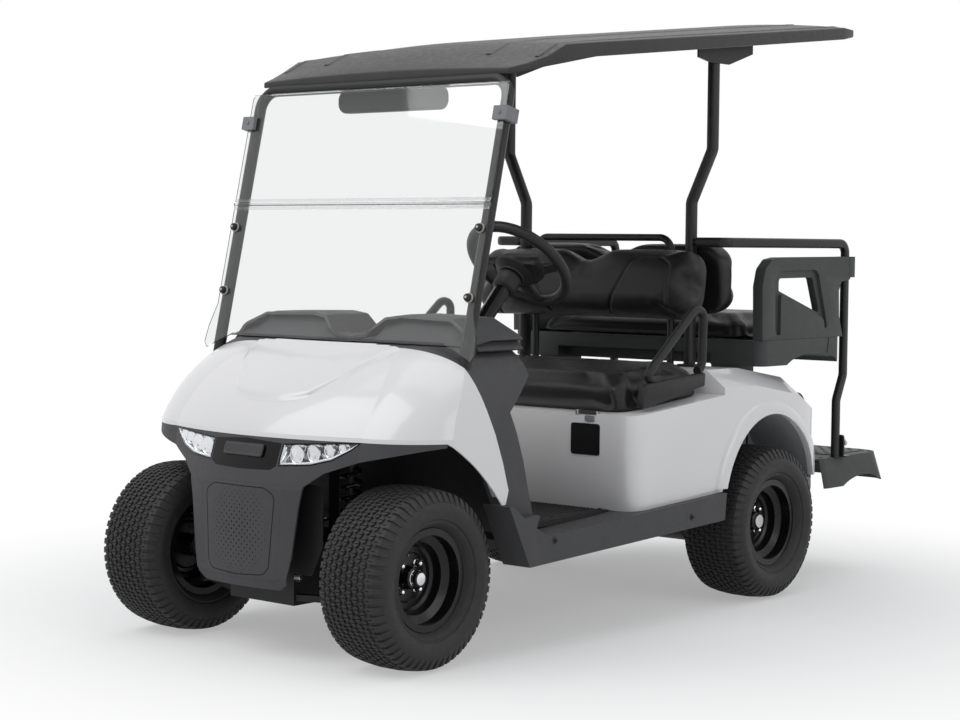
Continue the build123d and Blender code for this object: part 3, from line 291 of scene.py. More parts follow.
def tube(bm, points, radius, sides=12, closed=False):
    """A round bar along points, radius in millimetres, or one radius for each point."""
    radii = radius if isinstance(radius, list) else [radius] * len(points)
    swept(bm, points, [[(cos(a) * r, sin(a) * r) for a in turns(sides)] for r in radii], None, closed)


def rounded(points, radius, steps=5):
    """A closed outline with its corners rounded, in the outline's own units."""
    out = []
    count = len(points)
    for i, (x, y) in enumerate(points):
        p, a, b = Vector((x, y)), Vector(points[i - 1]), Vector(points[(i + 1) % count])
        r = radius[i] if isinstance(radius, list) else radius
        to_a, to_b = a - p, b - p
        reach = min(r / tan(to_a.angle(to_b) / 2), 0.49 * to_a.length, 0.49 * to_b.length)
        if reach < 1e-6:
            out.append((x, y))
            continue
        s, e = p + to_a.normalized() * reach, p + to_b.normalized() * reach
        for t in (k / steps for k in range(steps + 1)):
            out.append(tuple(s * (1 - t) ** 2 + p * 2 * t * (1 - t) + e * t * t))
    return out


def oblong(width, height, radius, steps=5, middle=(0, 0)):
    w, h = width / 2, height / 2
    cx, cy = middle
    return rounded([(cx - w, cy - h), (cx + w, cy - h), (cx + w, cy + h), (cx - w, cy + h)], radius, steps)


def plate(bm, outline, origin, x_dir, y_dir, depth, edge=0.0):
    """A plate with a bevelled front: outline in millimetres on two directions, depth along their cross product."""
    x_dir, y_dir = Vector(x_dir).normalized(), Vector(y_dir).normalized()
    normal = x_dir.cross(y_dir)
    middle = sum((Vector(p) for p in outline), Vector((0, 0))) / len(outline)

    def ring(inset, height):
        loop = []
        for out in (Vector(p) - middle for p in outline):
            q = middle + out * (1 - inset / max(out.length, 0.01))
            loop.append(origin + (x_dir * q.x + y_dir * q.y + normal * height) / 1000)
        return loop

    rings(bm, [ring(0, 0)] + ([ring(0, depth - edge)] if edge else []) + [ring(edge, depth)])


def bolt(bm, place, axis, size=12, height=7, washer=True):
    """A hexagon head on a washer, size across its corners."""
    axis = Vector(axis).normalized()
    if washer:
        lathe(bm, [(0, size * 0.85), (1.6, size * 0.85), (1.6, size * 0.3)], place, axis, 20)
        place = place + axis * 0.0016
    lathe(bm, [(0, size / 2), (height * 0.8, size / 2), (height, size * 0.4)], place, axis, 6)


def skin_of(node_name):
    """The shown surface of a CAD node, to lay trim on."""
    mesh = nodes[node_name].data
    return BVHTree.FromPolygons([v.co.copy() for v in mesh.vertices], [tuple(p.vertices) for p in mesh.polygons])


def drop_on(skin, origin, direction):
    """Where a line from a point first meets a surface, and the surface's normal towards the point."""
    hit, normal, _, _ = skin.ray_cast(origin, direction)
    if hit is None:
        return None, None
    return hit, (normal if normal.dot(direction) < 0 else -normal)


# ---------------------------------------------------------------- wheels
WHEELS = [
    # name, side, place of the hub
    ("front_left", 1, at(450, 0, 254)),
    ("front_right", -1, at(-450, 0, 254)),
    ("rear_left", 1, at(489, 1669, 254)),
    ("rear_right", -1, at(-489, 1669, 254)),
]
FRONT_CAP = [(31, 24.6), (33.5, 24.6), (34.5, 23.5), (48, 23.3), (51.6, 21.4), (53, 17), (53.4, 3)]
REAR_CAP = [(31, 24), (34, 24), (38.6, 23.4), (41, 21.6), (41.3, 3)]
TREAD_ROUND = 58
TREAD_COLUMNS = 9
TREAD_PITCH_X = 20.4
CROWN_R, TREAD_BASE_R = 254, 244
# across and out from the axle, from the bead to the middle of the crown under the tread
CARCASS = [
    (77, 142), (84, 147), (93, 151), (101, 158), (103.5, 161), (103.6, 163), (102.8, 165), (104, 167.5), (108.6, 170),
    (112, 177), (115, 188), (116.4, 197), (115.6, 204), (113.4, 212), (109.6, 219), (104.5, 228), (99, 236),
    (92, 240.5), (82, 243.5), (66, 245.6), (40, 247.4), (0, 248.2)]
CROWN = [(0, 254), (30, 254), (70, 250), (97, 245)]
# the ribs on the shoulder: across, out, half width and depth of each row
SHOULDER = [(87, 247, 8.5, 5.5), (97, 244.6, 8.5, 5.5), (105, 233.6, 7.6, 5.5), (109.4, 225, 6.4, 5.5),
            (112.6, 217.5, 4.6, 2)]


def on_wheel(x, r, angle):
    """A point on a wheel lying along x, r out from the axle, millimetres and radians."""
    return Vector((x, r * cos(angle), r * sin(angle))) / 1000


def crown_r(x):
    x = abs(x)
    for (x0, r0), (x1, r1) in zip(CROWN, CROWN[1:]):
        if x <= x1:
            return r0 + (r1 - r0) * (x - x0) / (x1 - x0)
    return CROWN[-1][1]


def tread_block(bm, x, angle, outline):
    """A small lug on the crown, its outline in millimetres across and round, drawn in a little at its top."""
    mid_a, mid_c = (sum(values) / len(outline) for values in zip(*outline))
    low, top = [], []
    for a, c in outline:
        low.append(bm.verts.new(on_wheel(x + a, TREAD_BASE_R, angle + c / CROWN_R)))
        a, c = mid_a + (a - mid_a) * 0.88, mid_c + (c - mid_c) * 0.9
        top.append(bm.verts.new(on_wheel(x + a, crown_r(x + a), angle + c / CROWN_R)))
    for i in range(len(outline)):
        j = (i + 1) % len(outline)
        bm.faces.new((low[i], low[j], top[j], top[i]))
    bm.faces.new(top)


def make_tyre():
    bm = bmesh.new()
    circle = turns(2 * TREAD_ROUND)
    profile = CARCASS + [(-x, r) for x, r in reversed(CARCASS[:-1])]
    rings(bm, [[on_wheel(x, r, a) for a in circle] for x, r in profile], caps=False)
    upper = [(-8.6, 5.6), (0, 11.6), (8.6, 5.6), (8.6, 0.9), (-8.6, 0.9)]
    lower = [(-x, -c) for x, c in upper]
    for column in range(TREAD_COLUMNS):
        x = (column - (TREAD_COLUMNS - 1) / 2) * TREAD_PITCH_X
        for step in range(TREAD_ROUND):
            for half in (upper, lower):
                tread_block(bm, x, ROUND / TREAD_ROUND * (step + 0.5 * (column % 2)), half)
    for side in SIDES:
        for angle in turns(TREAD_ROUND):
            rows = []
            for x, r, wide, deep in SHOULDER:
                half = wide / r
                rows.append([on_wheel(side * (x - deep * 0.6), r - deep, angle - half * 1.15),
                             on_wheel(side * x, r, angle - half), on_wheel(side * x, r, angle + half),
                             on_wheel(side * (x - deep * 0.6), r - deep, angle + half * 1.15)])
            strip(bm, rows)
            for end in (rows[0], rows[-1]):
                bm.faces.new([bm.verts.new(p) for p in end])
        rings(bm, [[on_wheel(side * x, r, a) for a in circle] for x, r in ((79, 144.5), (81.37, 146.5), (79, 148.5))],
              caps=False)
    return mesh_of("tread_tyre", bm)


def make_wheels():
    tyre_mesh = make_tyre()
    for name, side, hub in WHEELS:
        body = "wheel_" + name
        out = X * side
        tyre = shown("tread_tyre_" + name, tyre_mesh)
        tyre.matrix_world = Matrix.Translation(hub) @ Matrix.Rotation(0 if side == 1 else pi, 4, "Z")
        dressed(tyre, "tyre_rubber", None, body, 30)
        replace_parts(tyre, "tyre_" + name)

        bm = bmesh.new()
        for k in range(4):
            angle = radians(45 + 90 * k)
            seat = hub + Vector((side * 0.001, 0.051 * cos(angle), 0.051 * sin(angle)))
            lathe(bm, [(0, 12.5), (2.5, 12.5), (4, 10.5)], seat, out, 24)
            lathe(bm, [(2, 10.6), (15, 10.6), (18, 8.6)], seat, out, 6)
            lathe(bm, [(16, 8.4), (19.5, 7.4), (22, 4.6), (23, 1.2)], seat, out, 16)
        piece("lug_nuts_" + name, bm, "knuckle_metal", CHROME, body)
        cap, cap_mat = (FRONT_CAP, CHROME) if name.startswith("front") else (REAR_CAP, ZINC)
        made_of("hub_cap_" + name, "knuckle_metal", cap_mat, (lathe, cap, hub, out, 40), body=body)

        angle = radians(128 if side == 1 else 52)
        radial = Y * cos(angle) + Z * sin(angle)
        root = hub + radial * 0.104 + out * 0.028
        tip = out * 0.93 - radial * 0.36
        made_of("valve_stem_" + name, "black_plastic", None,
                (lathe, [(-6, 7.5), (0, 7), (4, 5.2), (24, 4.2), (25, 3.4)], root, tip, 16), body=body)
        made_of("valve_cap_" + name, "knuckle_metal", ZINC,
                (lathe, [(24, 3.6), (30, 3.8), (33, 3.2), (33.5, 0.6)], root, tip, 12), body=body)


make_wheels()


# ---------------------------------------------------------------- cushions
SEAT_TILT = radians(5)
FRONT_LEAN, REAR_LEAN = radians(10), radians(6)
BACK_HALF = [(25, 205), (110, 245), (420, 245), (465, 200), (465, 40), (430, 0)]
BACK = rounded(BACK_HALF + [(-x, y) for x, y in reversed(BACK_HALF)], [90, 90, 80, 70, 70, 60] * 2, 7)
CUSHIONS = [
    # node, piece, outline on its face, back and front of its thickness, origin, across, up the face, body
    ("front_seat_cushion", "seat_cushion_front", oblong(1020, 455, 75, 8, (0, 227)), (0, 100), at(0, 920, 652.6),
     X, (0, cos(SEAT_TILT), sin(SEAT_TILT)), "seat_lid"),
    ("rear_seat_cushion", "seat_cushion_rear", oblong(900, 501, 70, 8, (0, 250)), (0, 72), at(0, 1670, 860.3),
     X, Y, "rear_seat_flip"),
    ("front_seat_back", "backrest_front", BACK, (-90, 0), at(0, 1331, 934), X,
     (0, sin(FRONT_LEAN), cos(FRONT_LEAN)), "chassis"),
    ("rear_seat_back", "backrest_rear", BACK, (-105, 0), at(0, 1648, 948), -X,
     (0, -sin(REAR_LEAN), cos(REAR_LEAN)), "chassis"),
]
SHRINK = 7               # mm, how much smaller a pad starts than its space
SWELL = 0.022            # m, how far cloth may move
VOXEL = 0.0088           # m
CLOTH_FRAMES = 20
SEAM_WIDTH, SEAM_DEPTH = 0.0036, 0.0055    # m
CLOTH = dict(quality=4, mass=0.35, tension_stiffness=12, compression_stiffness=12, shear_stiffness=6,
             bending_stiffness=0.6, use_pressure=True, uniform_pressure_force=4, vertex_group_mass="held")


def bake(obj):
    """Turns an object's modifiers into its mesh."""
    graph = bpy.context.evaluated_depsgraph_get()
    mesh = bpy.data.meshes.new_from_object(obj.evaluated_get(graph), depsgraph=graph)
    obj.modifiers.clear()
    old = obj.data
    obj.data = mesh
    bpy.data.meshes.remove(old)


def modify(obj, kind, **settings):
    modifier = obj.modifiers.new(kind.lower(), kind)
    for key, value in settings.items():
        setattr(modifier, key, value)
    return modifier


def swollen(obj):
    """Blows a pad up as cloth, with the side it rests on held, and keeps every point near its start."""
    held = obj.vertex_groups.new(name="held")
    low = min(v.co.z for v in obj.data.vertices)
    held.add([v.index for v in obj.data.vertices if v.co.z < low + 0.006], 1.0, "REPLACE")
    start = [v.co.copy() for v in obj.data.vertices]
    cloth = modify(obj, "CLOTH")
    for key, value in CLOTH.items():
        setattr(cloth.settings, key, value)
    cloth.settings.effector_weights.gravity = 0
    cloth.collision_settings.use_collision = False
    cloth.point_cache.frame_start, cloth.point_cache.frame_end = 1, CLOTH_FRAMES
    for step in range(1, CLOTH_FRAMES + 1):
        bpy.context.scene.frame_set(step)
    bake(obj)
    bpy.context.scene.frame_set(1)
    for vertex, place in zip(obj.data.vertices, start):
        move = vertex.co - place
        if move.length > SWELL:
            vertex.co = place + move.normalized() * SWELL


def groove(obj, lines):
    """Presses sewn lines into a pad's face. Each line is a row of points on the face, in millimetres."""
    mesh = obj.data
    count = len(mesh.vertices)
    co, normals = np.zeros(count * 3), np.zeros(count * 3)
    mesh.vertices.foreach_get("co", co)
    mesh.vertex_normals.foreach_get("vector", normals)
    co, normals = co.reshape(-1, 3), normals.reshape(-1, 3)
    nearest = np.full(count, 1.0)
    for line in lines:
        for a, b in zip(np.array(line) / 1000, np.array(line[1:]) / 1000):
            run = b - a
            if run @ run < 1e-9:
                continue
            along = np.clip(((co[:, :2] - a) @ run) / (run @ run), 0, 1)
            nearest = np.minimum(nearest, np.linalg.norm(co[:, :2] - a - along[:, None] * run, axis=1))
    press = SEAM_DEPTH * np.exp(-(nearest / SEAM_WIDTH) ** 2) * (normals[:, 2] > 0.35)
    co -= normals * press[:, None]
    mesh.vertices.foreach_set("co", co.ravel())
    mesh.update()


def drawn_in(outline, amount):
    """A closed outline drawn in towards its middle by some millimetres on both axes."""
    (x0, y0), (x1, y1) = (tuple(pick(values) for values in zip(*outline)) for pick in (min, max))
    cx, cy = (x0 + x1) / 2, (y0 + y1) / 2
    w, h = x1 - cx, y1 - cy
    return [(cx + (x - cx) * (1 - amount / w), cy + (y - cy) * (1 - amount / h)) for x, y in outline]


def seams_of(outline, is_back):
    """Sewn lines: an arch on each half of a backrest, or an oval near a seat's far edge."""
    if is_back:
        arch = rounded([(118, 6), (214, 200), (324, 206), (366, 178), (368, 6)], [1, 44, 26, 26, 1], 6)
        return [arch, [(-x, y) for x, y in arch]]
    oval = oblong(300, 110, 54, 8, (0, max(y for _, y in outline) - 96))
    return [oval + oval[:1]]


def make_cushions():
    for node_name, name, outline, (low, high), origin, across, up, body in CUSHIONS:
        top = high - SHRINK
        levels = ((4, low + 1), (0, low + 10), (0, top - 34), (5, top - 14), (15, top - 4), (32, top))
        pad = form(name, [[Vector((x, y, z)) / 1000 for x, y in drawn_in(outline, SHRINK + inset)]
                          for inset, z in levels])
        modify(pad, "REMESH", mode="VOXEL", voxel_size=VOXEL)
        modify(pad, "SMOOTH", factor=0.5, iterations=4)
        bake(pad)
        swollen(pad)
        modify(pad, "SMOOTH", factor=0.5, iterations=3)
        modify(pad, "SUBSURF", levels=1, render_levels=1)
        bake(pad)
        groove(pad, seams_of(outline, name.startswith("backrest")))
        pad.data.polygons.foreach_set("use_smooth", [True] * len(pad.data.polygons))
        paint(pad, MATERIALS["seat_vinyl"])
        up = Vector(up)
        pad.matrix_world = Matrix.Translation(origin) @ Matrix((across, up, across.cross(up))).transposed().to_4x4()
        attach(pad, body)
        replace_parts(pad, node_name)


make_cushions()


# ---------------------------------------------------------------- nose: bumper panel, badge plate, headlamps
# across and up, seen from the front: half of the bumper panel, and the left lamp
PANEL_HALF = [(0, 492), (100, 490), (138, 470), (122, 268), (104, 246), (0, 240)]
LAMP = [(137, 553), (139, 613), (376, 627), (350, 606), (300, 576), (240, 560)]
HOLE_PITCH_X, HOLE_PITCH_Z = 21.5, 10
RIBBON_LIFT = 0.00035    # m


def on_front(skin, x, z, out=0.0):
    """The point of the nose at x and z seen from the front, lifted off by some millimetres, and its normal."""
    hit, normal = drop_on(skin, at(x, -600, z), Y)
    return (None, None) if hit is None else (hit + normal * (out / 1000), normal)


def ribbon(bm, points, normals, width):
    """A narrow flat closed band that stands just off a surface, width in millimetres."""
    count = len(points)
    rows = []
    for i, (p, n) in enumerate(zip(points, normals)):
        side = n.cross((points[(i + 1) % count] - points[i - 1]).normalized()).normalized()
        rows.append([p + n * RIBBON_LIFT + side * (edge * width / 2000) for edge in (1, -1)])
    rings(bm, rows, closed_round=False, closed_along=True, caps=False)


def spaced(outline, step, closed=True):
    """The same outline with points at most a step apart."""
    out = []
    for (x0, y0), (x1, y1) in zip(outline, outline[1:] + (outline[:1] if closed else [])):
        count = max(1, ceil(hypot(x1 - x0, y1 - y0) / step))
        out += [(x0 + (x1 - x0) * k / count, y0 + (y1 - y0) * k / count) for k in range(count)]
    return out if closed else out + [outline[-1]]


def groove_line(name, skin, outline, width, slot, mat):
    found = [(p, n) for p, n in (on_front(skin, x, z) for x, z in spaced(outline, 8)) if p is not None]
    return made_of(name, slot, mat, (ribbon, [p for p, _ in found], [n for _, n in found], width))


def make_bumper_panel():
    skin = skin_of("bumper_panel")
    outline = rounded([(-x, z) for x, z in PANEL_HALF[::-1]][:-1] + PANEL_HALF[1:-1], 26, 5)
    # A near-black ribbon laid along the panel's edge stands for the shade in its groove: painted shade.
    groove_line("painted_bumper_groove_shade", skin, outline, 2.6, "grey_plastic", PAINTED_RECESS_SHADE)
    # Flat near-black discs just off the panel stand for the shade inside its holes: painted shade.
    bm = bmesh.new()
    for row in range(25):
        z = 486 - HOLE_PITCH_Z * row
        for column in range(-6, 7):
            x = HOLE_PITCH_X * (column + 0.5 * (row % 2))
            away = (abs(x) / 112) ** 2.6 + (abs(z - 366) / 122) ** 2.6
            p, n = on_front(skin, x, z, 0.25)
            if away <= 1 and p is not None:
                r = 3.1 - 1.9 * away ** 0.8
                lathe(bm, [(0, r), (0.05, r * 0.5)], p, n, 10)
    piece("painted_bumper_hole_shade", bm, "grey_plastic", PAINTED_RECESS_SHADE)


def make_badge_plate():
    p, n = on_front(skin_of("nose_panel"), 0, 590)
    up = (Z - n * n.z).normalized()
    across = up.cross(n)
    made_of("badge_plate", "black_plastic", powder("plate_satin", (0.045, 0.045, 0.047), 0.32),
            (plate, oblong(156, 37, 9), p + n * 0.001, across, up, 5, 1.6))
    line = [p + n * 0.0062 + (across * x + up * y) / 1000 for x, y in oblong(144, 26, 6)]
    made_of("badge_rim", "black_plastic", powder("plate_edge", (0.10, 0.10, 0.105), 0.3), (tube, line, 0.8, 6, True))


def lamp_hollow(skin, outline, middle):
    """The housing's open shell and its back wall."""
    cx, cz = middle

    def loop(share, back):
        out = []
        for x, z in spaced(outline, 14):
            px, pz = cx + (x - cx) * share, cz + (z - cz) * share
            out.append((on_front(skin, px, pz)[0] or at(px, -150, pz)) + Y * (back / 1000))
        return out

    bm = bmesh.new()
    rings(bm, [loop(0.985, 3.2), loop(0.97, 9), loop(0.9, 36)], caps=False)
    bm.faces.new([bm.verts.new(p) for p in loop(0.9, 36)])
    return bm


def lamp_reflectors(skin, side):
    bm = bmesh.new()
    for x, z, r in ((172, 585, 24), (226, 590, 22), (275, 600, 17), (316, 609, 11)):
        mouth = on_front(skin, side * x, z)[0] + Vector((side * r * 0.0004, (7 + r * 0.35) / 1000, 0))
        lathe(bm, [(0, r), (-1.5, r + 1.5), (-1.5, r + 3), (2, r + 3)], mouth, Y, 36, caps=False)
        lathe(bm, [(t * t * 22, r * (1 - 0.82 * t)) for t in (0, 0.2, 0.4, 0.6, 0.8, 1)], mouth, Y, 36)
        lathe(bm, [(20, r * 0.16), (9, r * 0.16), (6, r * 0.1)], mouth, Y, 16)
    return bm


def lamp_ribs(skin, side):
    bm = bmesh.new()
    for k in range(5):
        a, _ = on_front(skin, side * (150 + 44 * k), 566 + 6.5 * k)
        b, _ = on_front(skin, side * (163 + 44 * k), 608 + 2.4 * k)
        if a is not None and b is not None:
            tube(bm, [a + Y * 0.012, (a + b) / 2 + Y * 0.017, b + Y * 0.012], 2.2, 8)
    return bm


def lamp_lens(side):
    """The front faces of the solid lamp on one side, as a thin clear shell."""
    bm = bmesh.new()
    bm.from_mesh(nodes["headlamps"].data)
    away = [f for f in bm.faces if f.normal.y > -0.25 or f.calc_center_median().x * side < 0]
    bmesh.ops.delete(bm, geom=away, context="FACES")
    thin = bmesh.ops.extrude_face_region(bm, geom=list(bm.faces))
    for v in (g for g in thin["geom"] if isinstance(g, bmesh.types.BMVert)):
        v.co.y += 0.0025
    return bm


def make_lamp(side, skin, name):
    outline = [(side * x, z) for x, z in LAMP][::side]
    cx, cz = (sum(values) / len(outline) for values in zip(*outline))
    piece("lamp_housing_" + name, lamp_hollow(skin, outline, (cx, cz)), "lamp_glass", LAMP_SILVER)
    piece("lamp_reflectors_" + name, lamp_reflectors(skin, side), "lamp_glass", LAMP_SILVER)
    piece("lamp_ribs_" + name, lamp_ribs(skin, side), "lamp_glass", CHROME)
    lower = [(side * x, z) for x, z in ((141, 558), (190, 560), (240, 566), (298, 582), (344, 607), (366, 622))]
    hits = [on_front(skin, x, z)[0] for x, z in spaced(lower, 10, closed=False)]
    made_of("lamp_guide_" + name, "lamp_glass", gel_coat("lamp_guide_white", (0.78, 0.79, 0.8)),
            (tube, [hit + Y * 0.0075 for hit in hits if hit is not None], 3.6, 10))
    lens = piece("lamp_lens_" + name, lamp_lens(side), "lamp_glass")
    lens.visible_shadow = False
    groove_line("lamp_bezel_" + name, skin, [(cx + (x - cx) * 0.99, cz + (z - cz) * 0.975) for x, z in outline], 4.4,
                "black_plastic", GLOSS_BLACK)
    return lens


def make_nose():
    make_bumper_panel()
    make_badge_plate()
    skin = skin_of("headlamps")
    for side, name in SIDES.items():
        lens = make_lamp(side, skin, name)
    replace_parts(lens, "headlamps")
    paint(nodes["nose_panel"], GLOSS_BLACK)


make_nose()


# ---------------------------------------------------------------- front shocks, liner and bolts under the nose
COIL_TURNS, COIL_STEPS, COIL_R = 9.6, 30, 0.0265
COIL_LOW, COIL_TALL = 0.056, 0.311


def make_shocks():
    for side, name in SIDES.items():
        foot = at(side * 235, 0, 181)
        shock = made_of(
            "shock_" + name, "chassis_steel", None, (plate, oblong(20, 130, 4), foot, X, Y, 26, 1),
            *[(plate, oblong(20, 26, 4, middle=(0, y)), foot, X, Y, 27, 1) for y in (-55, 55)],
            (lathe, [(20, 17), (34, 17), (36, 27), (44, 31), (50, 31), (52, 24), (54, 19), (232, 19), (238, 15),
                     (238, 8.5), (362, 8.5), (362, 16), (372, 16), (374, 30), (382, 31), (386, 24), (403, 20)],
             foot, Z, 32))
        count = int(COIL_TURNS * COIL_STEPS)
        line = [foot + Vector((COIL_R * cos(ROUND * k / COIL_STEPS), COIL_R * sin(ROUND * k / COIL_STEPS),
                               COIL_LOW + COIL_TALL * k / count)) for k in range(count + 1)]
        made_of("coil_" + name, "chassis_steel", GLOSS_BLACK, (tube, line, 5.4, 10))
    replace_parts(shock, "front_shocks")
    made_of("crossbar_bolts", "knuckle_metal", ZINC,
            *[(bolt, at(side * 130.5, -104, 232), X * side, 19, 11) for side in SIDES])
    liner = rounded([(248, 500), (248, 330), (205, 243), (-205, 243), (-248, 330), (-248, 500)], 18, 4)
    made_of("nose_liner", "black_plastic", None, (rings, [[at(x, y, z) for x, z in liner] for y in (-125, -121)]))


make_shocks()


# ---------------------------------------------------------------- steering wheel
HELM_AT = at(270, 697, 1113)
HELM_OUT = Vector((0, sqrt(0.5), sqrt(0.5)))
HELM_LOW = Vector((0, sqrt(0.5), -sqrt(0.5)))
WHEEL_R = 160
HUB_PAD = [(-104, -40), (104, -40), (118, -8), (92, 34), (40, 62), (-40, 62), (-92, 34), (-118, -8)]
HUB_PAD_LEVELS = ((0.90, -34), (1.0, -26), (1.0, -12), (0.97, -7), (0.9, -4.5), (0.6, -3))
# out from the hub, share of the spoke's width, lower and upper face
SPOKE = ((60, 1, -30, -12), (100, 0.92, -27, -10), (132, 0.8, -20, -4), (154, 0.86, -9, 5))


def on_helm(x, y, out):
    """A point on the steering wheel: across, towards the driver, and along the column, in millimetres."""
    return HELM_AT + (X * x + HELM_LOW * y + HELM_OUT * out) / 1000


def spoke(bm, degrees, width):
    c, s = cos(radians(degrees)), sin(radians(degrees))
    rings(bm, [[on_helm(c * r - s * u, s * r + c * u, v) for u, v in rounded(
        [(-w / 2, low), (w / 2, low), (w / 2, high), (-w / 2, high)], 5, 3)]
        for r, w, low, high in ((r, width * share, low, high) for r, share, low, high in SPOKE)])


def make_steering_wheel():
    line = [on_helm(WHEEL_R * cos(a), WHEEL_R * sin(a), 0) for a in turns(72)]
    rim = made_of("wheel_rim_grip", "black_plastic", None, (tube, line, 17, 18, True), body="helm", smooth=60)
    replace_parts(rim, "steering_wheel")
    pad = rounded(HUB_PAD, 26, 6)
    made_of("wheel_hub_pad", "black_plastic", None,
            (rings, [[on_helm(x * s, y * s, out) for x, y in pad] for s, out in HUB_PAD_LEVELS]),
            (spoke, 0, 40), (spoke, 180, 40), (spoke, 90, 44), body="helm", smooth=40)
    made_of("wheel_hub_bell", "black_plastic", None,
            (lathe, [(-30, 66), (-36, 64), (-42, 55), (-48, 42), (-52, 40)], HELM_AT, HELM_OUT, 40),
            *[(plate, oblong(3, 52, 1, 2), on_helm(x, -6, -39), X, HELM_LOW, 8) for x in range(-60, 61, 20)],
            body="helm")
    shaft = made_of("column_shaft", "black_steel", GLOSS_BLACK,
                    (lathe, [(-58, 26), (-64, 25), (-262, 25), (-272, 30), (-300, 38), (-322, 42), (-388, 42)],
                     HELM_AT, HELM_OUT, 40))
    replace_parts(shaft, "steering_column")
    collar = [(-58, 36.3), (-60, 38), (-72, 38), (-75, 36.3), (-104, 36.3), (-108, 33), (-112, 26)]
    made_of("column_collar", "black_plastic", None, (lathe, collar, HELM_AT, HELM_OUT, 40, False))


make_steering_wheel()


# ---------------------------------------------------------------- windshield: hinge strip, edges, knobs, clamp bolts
SCREEN_FOOT = at(0, 180, 850)
SCREEN_UP = Vector((0, 186, 795)).normalized()
SCREEN_OUT = Vector((0, -795, 186)).normalized()
PANE_OUT = 23.3          # mm from the posts' middle to the panes' outer face


def on_screen(x, h, out):
    """A point on the windshield: across, up the posts, and forward, in millimetres."""
    return SCREEN_FOOT + (X * x + SCREEN_UP * h + SCREEN_OUT * out) / 1000


def screen_plate(outline, x, h, out, *depth):
    return (plate, outline, on_screen(x, h, out), X, SCREEN_UP, *depth)


def make_windshield():
    leaves = made_of("windshield_hinge_leaves", "screen_clear", clear("hinge_clear", (0.84, 0.86, 0.86), 0.25),
                     *[screen_plate(oblong(1040, 9, 2, 2), 0, h, PANE_OUT + 0.2, 2.6, 0.6) for h in (433, 457)])
    bar = made_of("windshield_hinge_bar", "screen_clear", clear("hinge_bar_clear", (0.74, 0.76, 0.76), 0.18),
                  (tube, [on_screen(x, 445, PANE_OUT + 2.5) for x in (-520, 520)], 4.2, 12))
    edges = made_of("windshield_pane_edges", "screen_clear", clear("pane_edge", (0.66, 0.72, 0.71), 0.2),
                    *[screen_plate(oblong(1036, 1.6, 0.4, 1), 0, h, PANE_OUT - 4.8, 5) for h in (441.6, 448.4, 799.6)])
    for obj in (leaves, bar, edges):
        obj.visible_shadow = False

    for z, name in ((1213, "upper"), (1017, "lower")):
        spots = [on_screen(x, (z - 850) / SCREEN_UP.z, PANE_OUT + 0.2) for x in (-500, 500)]
        made_of("screen_washers_" + name, "clamp_grey", grained("washer_cream", (0.42, 0.4, 0.34), 0.5),
                *[(lathe, [(0, 14.5), (3, 14.5), (4, 13.5), (4, 8)], p, SCREEN_OUT, 28) for p in spots])
        made_of("screen_knobs_" + name, "black_plastic", None,
                *[(lathe, [(3, 11.5), (12, 11), (15, 9.4), (15, 6)], p, SCREEN_OUT, 24) for p in spots])
        made_of("screen_bolts_" + name, "knuckle_metal", ZINC,
                *[(bolt, p + SCREEN_OUT * 0.0145, SCREEN_OUT, 8, 3.5, False) for p in spots])
    made_of("clamp_bolts", "clamp_grey", None,
            *[(bolt, on_screen(x, 706, 34.2), SCREEN_OUT, 11, 5) for x in (-513, 513)],
            *[screen_plate(oblong(30, 8, 3, 3), x, 722, 33.6, 3, 0.8) for x in (-513, 513)])


make_windshield()


# ---------------------------------------------------------------- side of the seat pod, sills and floor

def make_side_trim():
    made_of("charger_cover", "black_plastic", powder("cover_black", (0.008, 0.008, 0.0085), 0.4),
            (plate, oblong(112, 98, 10), at(386, 889.8, 573), X, Z, 3, 1))
    made_of("charger_frame", "white_body", None, (plate, oblong(122, 108, 13), at(386, 889.9, 573), X, Z, 1, 0.8))
    made_of("seat_latch_pad", "clamp_grey", None, (plate, oblong(36, 18, 5), at(402, 889.8, 638), X, Z, 5, 1.5))
    made_of("seat_latch", "knuckle_metal", ZINC, (plate, oblong(78, 11, 3), at(392, 901, 655.5), X, Z, 13, 2),
            (plate, oblong(10, 16, 3), at(352, 899, 655), X, Z, 13, 2))

    bm = bmesh.new()
    for side in SIDES:
        for y, z in ((1165.5, 323), (470, 322)):
            lathe(bm, [(0, 11), (1.5, 11), (3, 8)], at(side * 600, y, z), X * side, 24)
            bolt(bm, at(side * 602.5, y, z), X * side, 12, 5, False)
    piece("sill_bolts", bm, "black_steel")

    bm = bmesh.new()
    plate(bm, oblong(880, 522, 24), at(0, 620, 357), X, Y, 3, 1)
    rib = ((-4, 359.5), (-2.4, 363), (2.4, 363), (4, 359.5))
    for x in (-427.5 + 15 * k for k in range(58)):
        rings(bm, [[at(x + u, y, z) for u, z in rib] for y in (366, 874)])
    piece("floor_mat", bm, "black_plastic", rubber("floor_mat", (0.010, 0.010, 0.0105), 0.6))
    bm = bmesh.new()
    for side in SIDES:
        plate(bm, oblong(42, 520, 12), at(side * 470, 620, 357), X, Y, 6, 1.5)
        for u in (-12, 0, 12):
            plate(bm, oblong(5, 490, 2, 3, (u, 0)), at(side * 470, 620, 362.8), X, Y, 2.4, 1)
        for y in (385, 620, 855):
            lathe(bm, [(0, 6.5), (2, 6.2), (3.2, 3.5)], at(side * 470, y, 365), Z, 16)
    piece("door_thresholds", bm, "black_plastic")


make_side_trim()


# ---------------------------------------------------------------- moulded forms that stand for plainer solids

def prism(outline, levels, axis, name="tool"):
    """A straight form between two levels on an axis. Outlines are in mm: y and z on x, x and z on y, x and y on z."""
    place = {"x": lambda a, b, c: at(c, a, b), "y": lambda a, b, c: at(a, c, b), "z": at}[axis]
    return form(name, [[place(a, b, level) for a, b in outline] for level in levels])


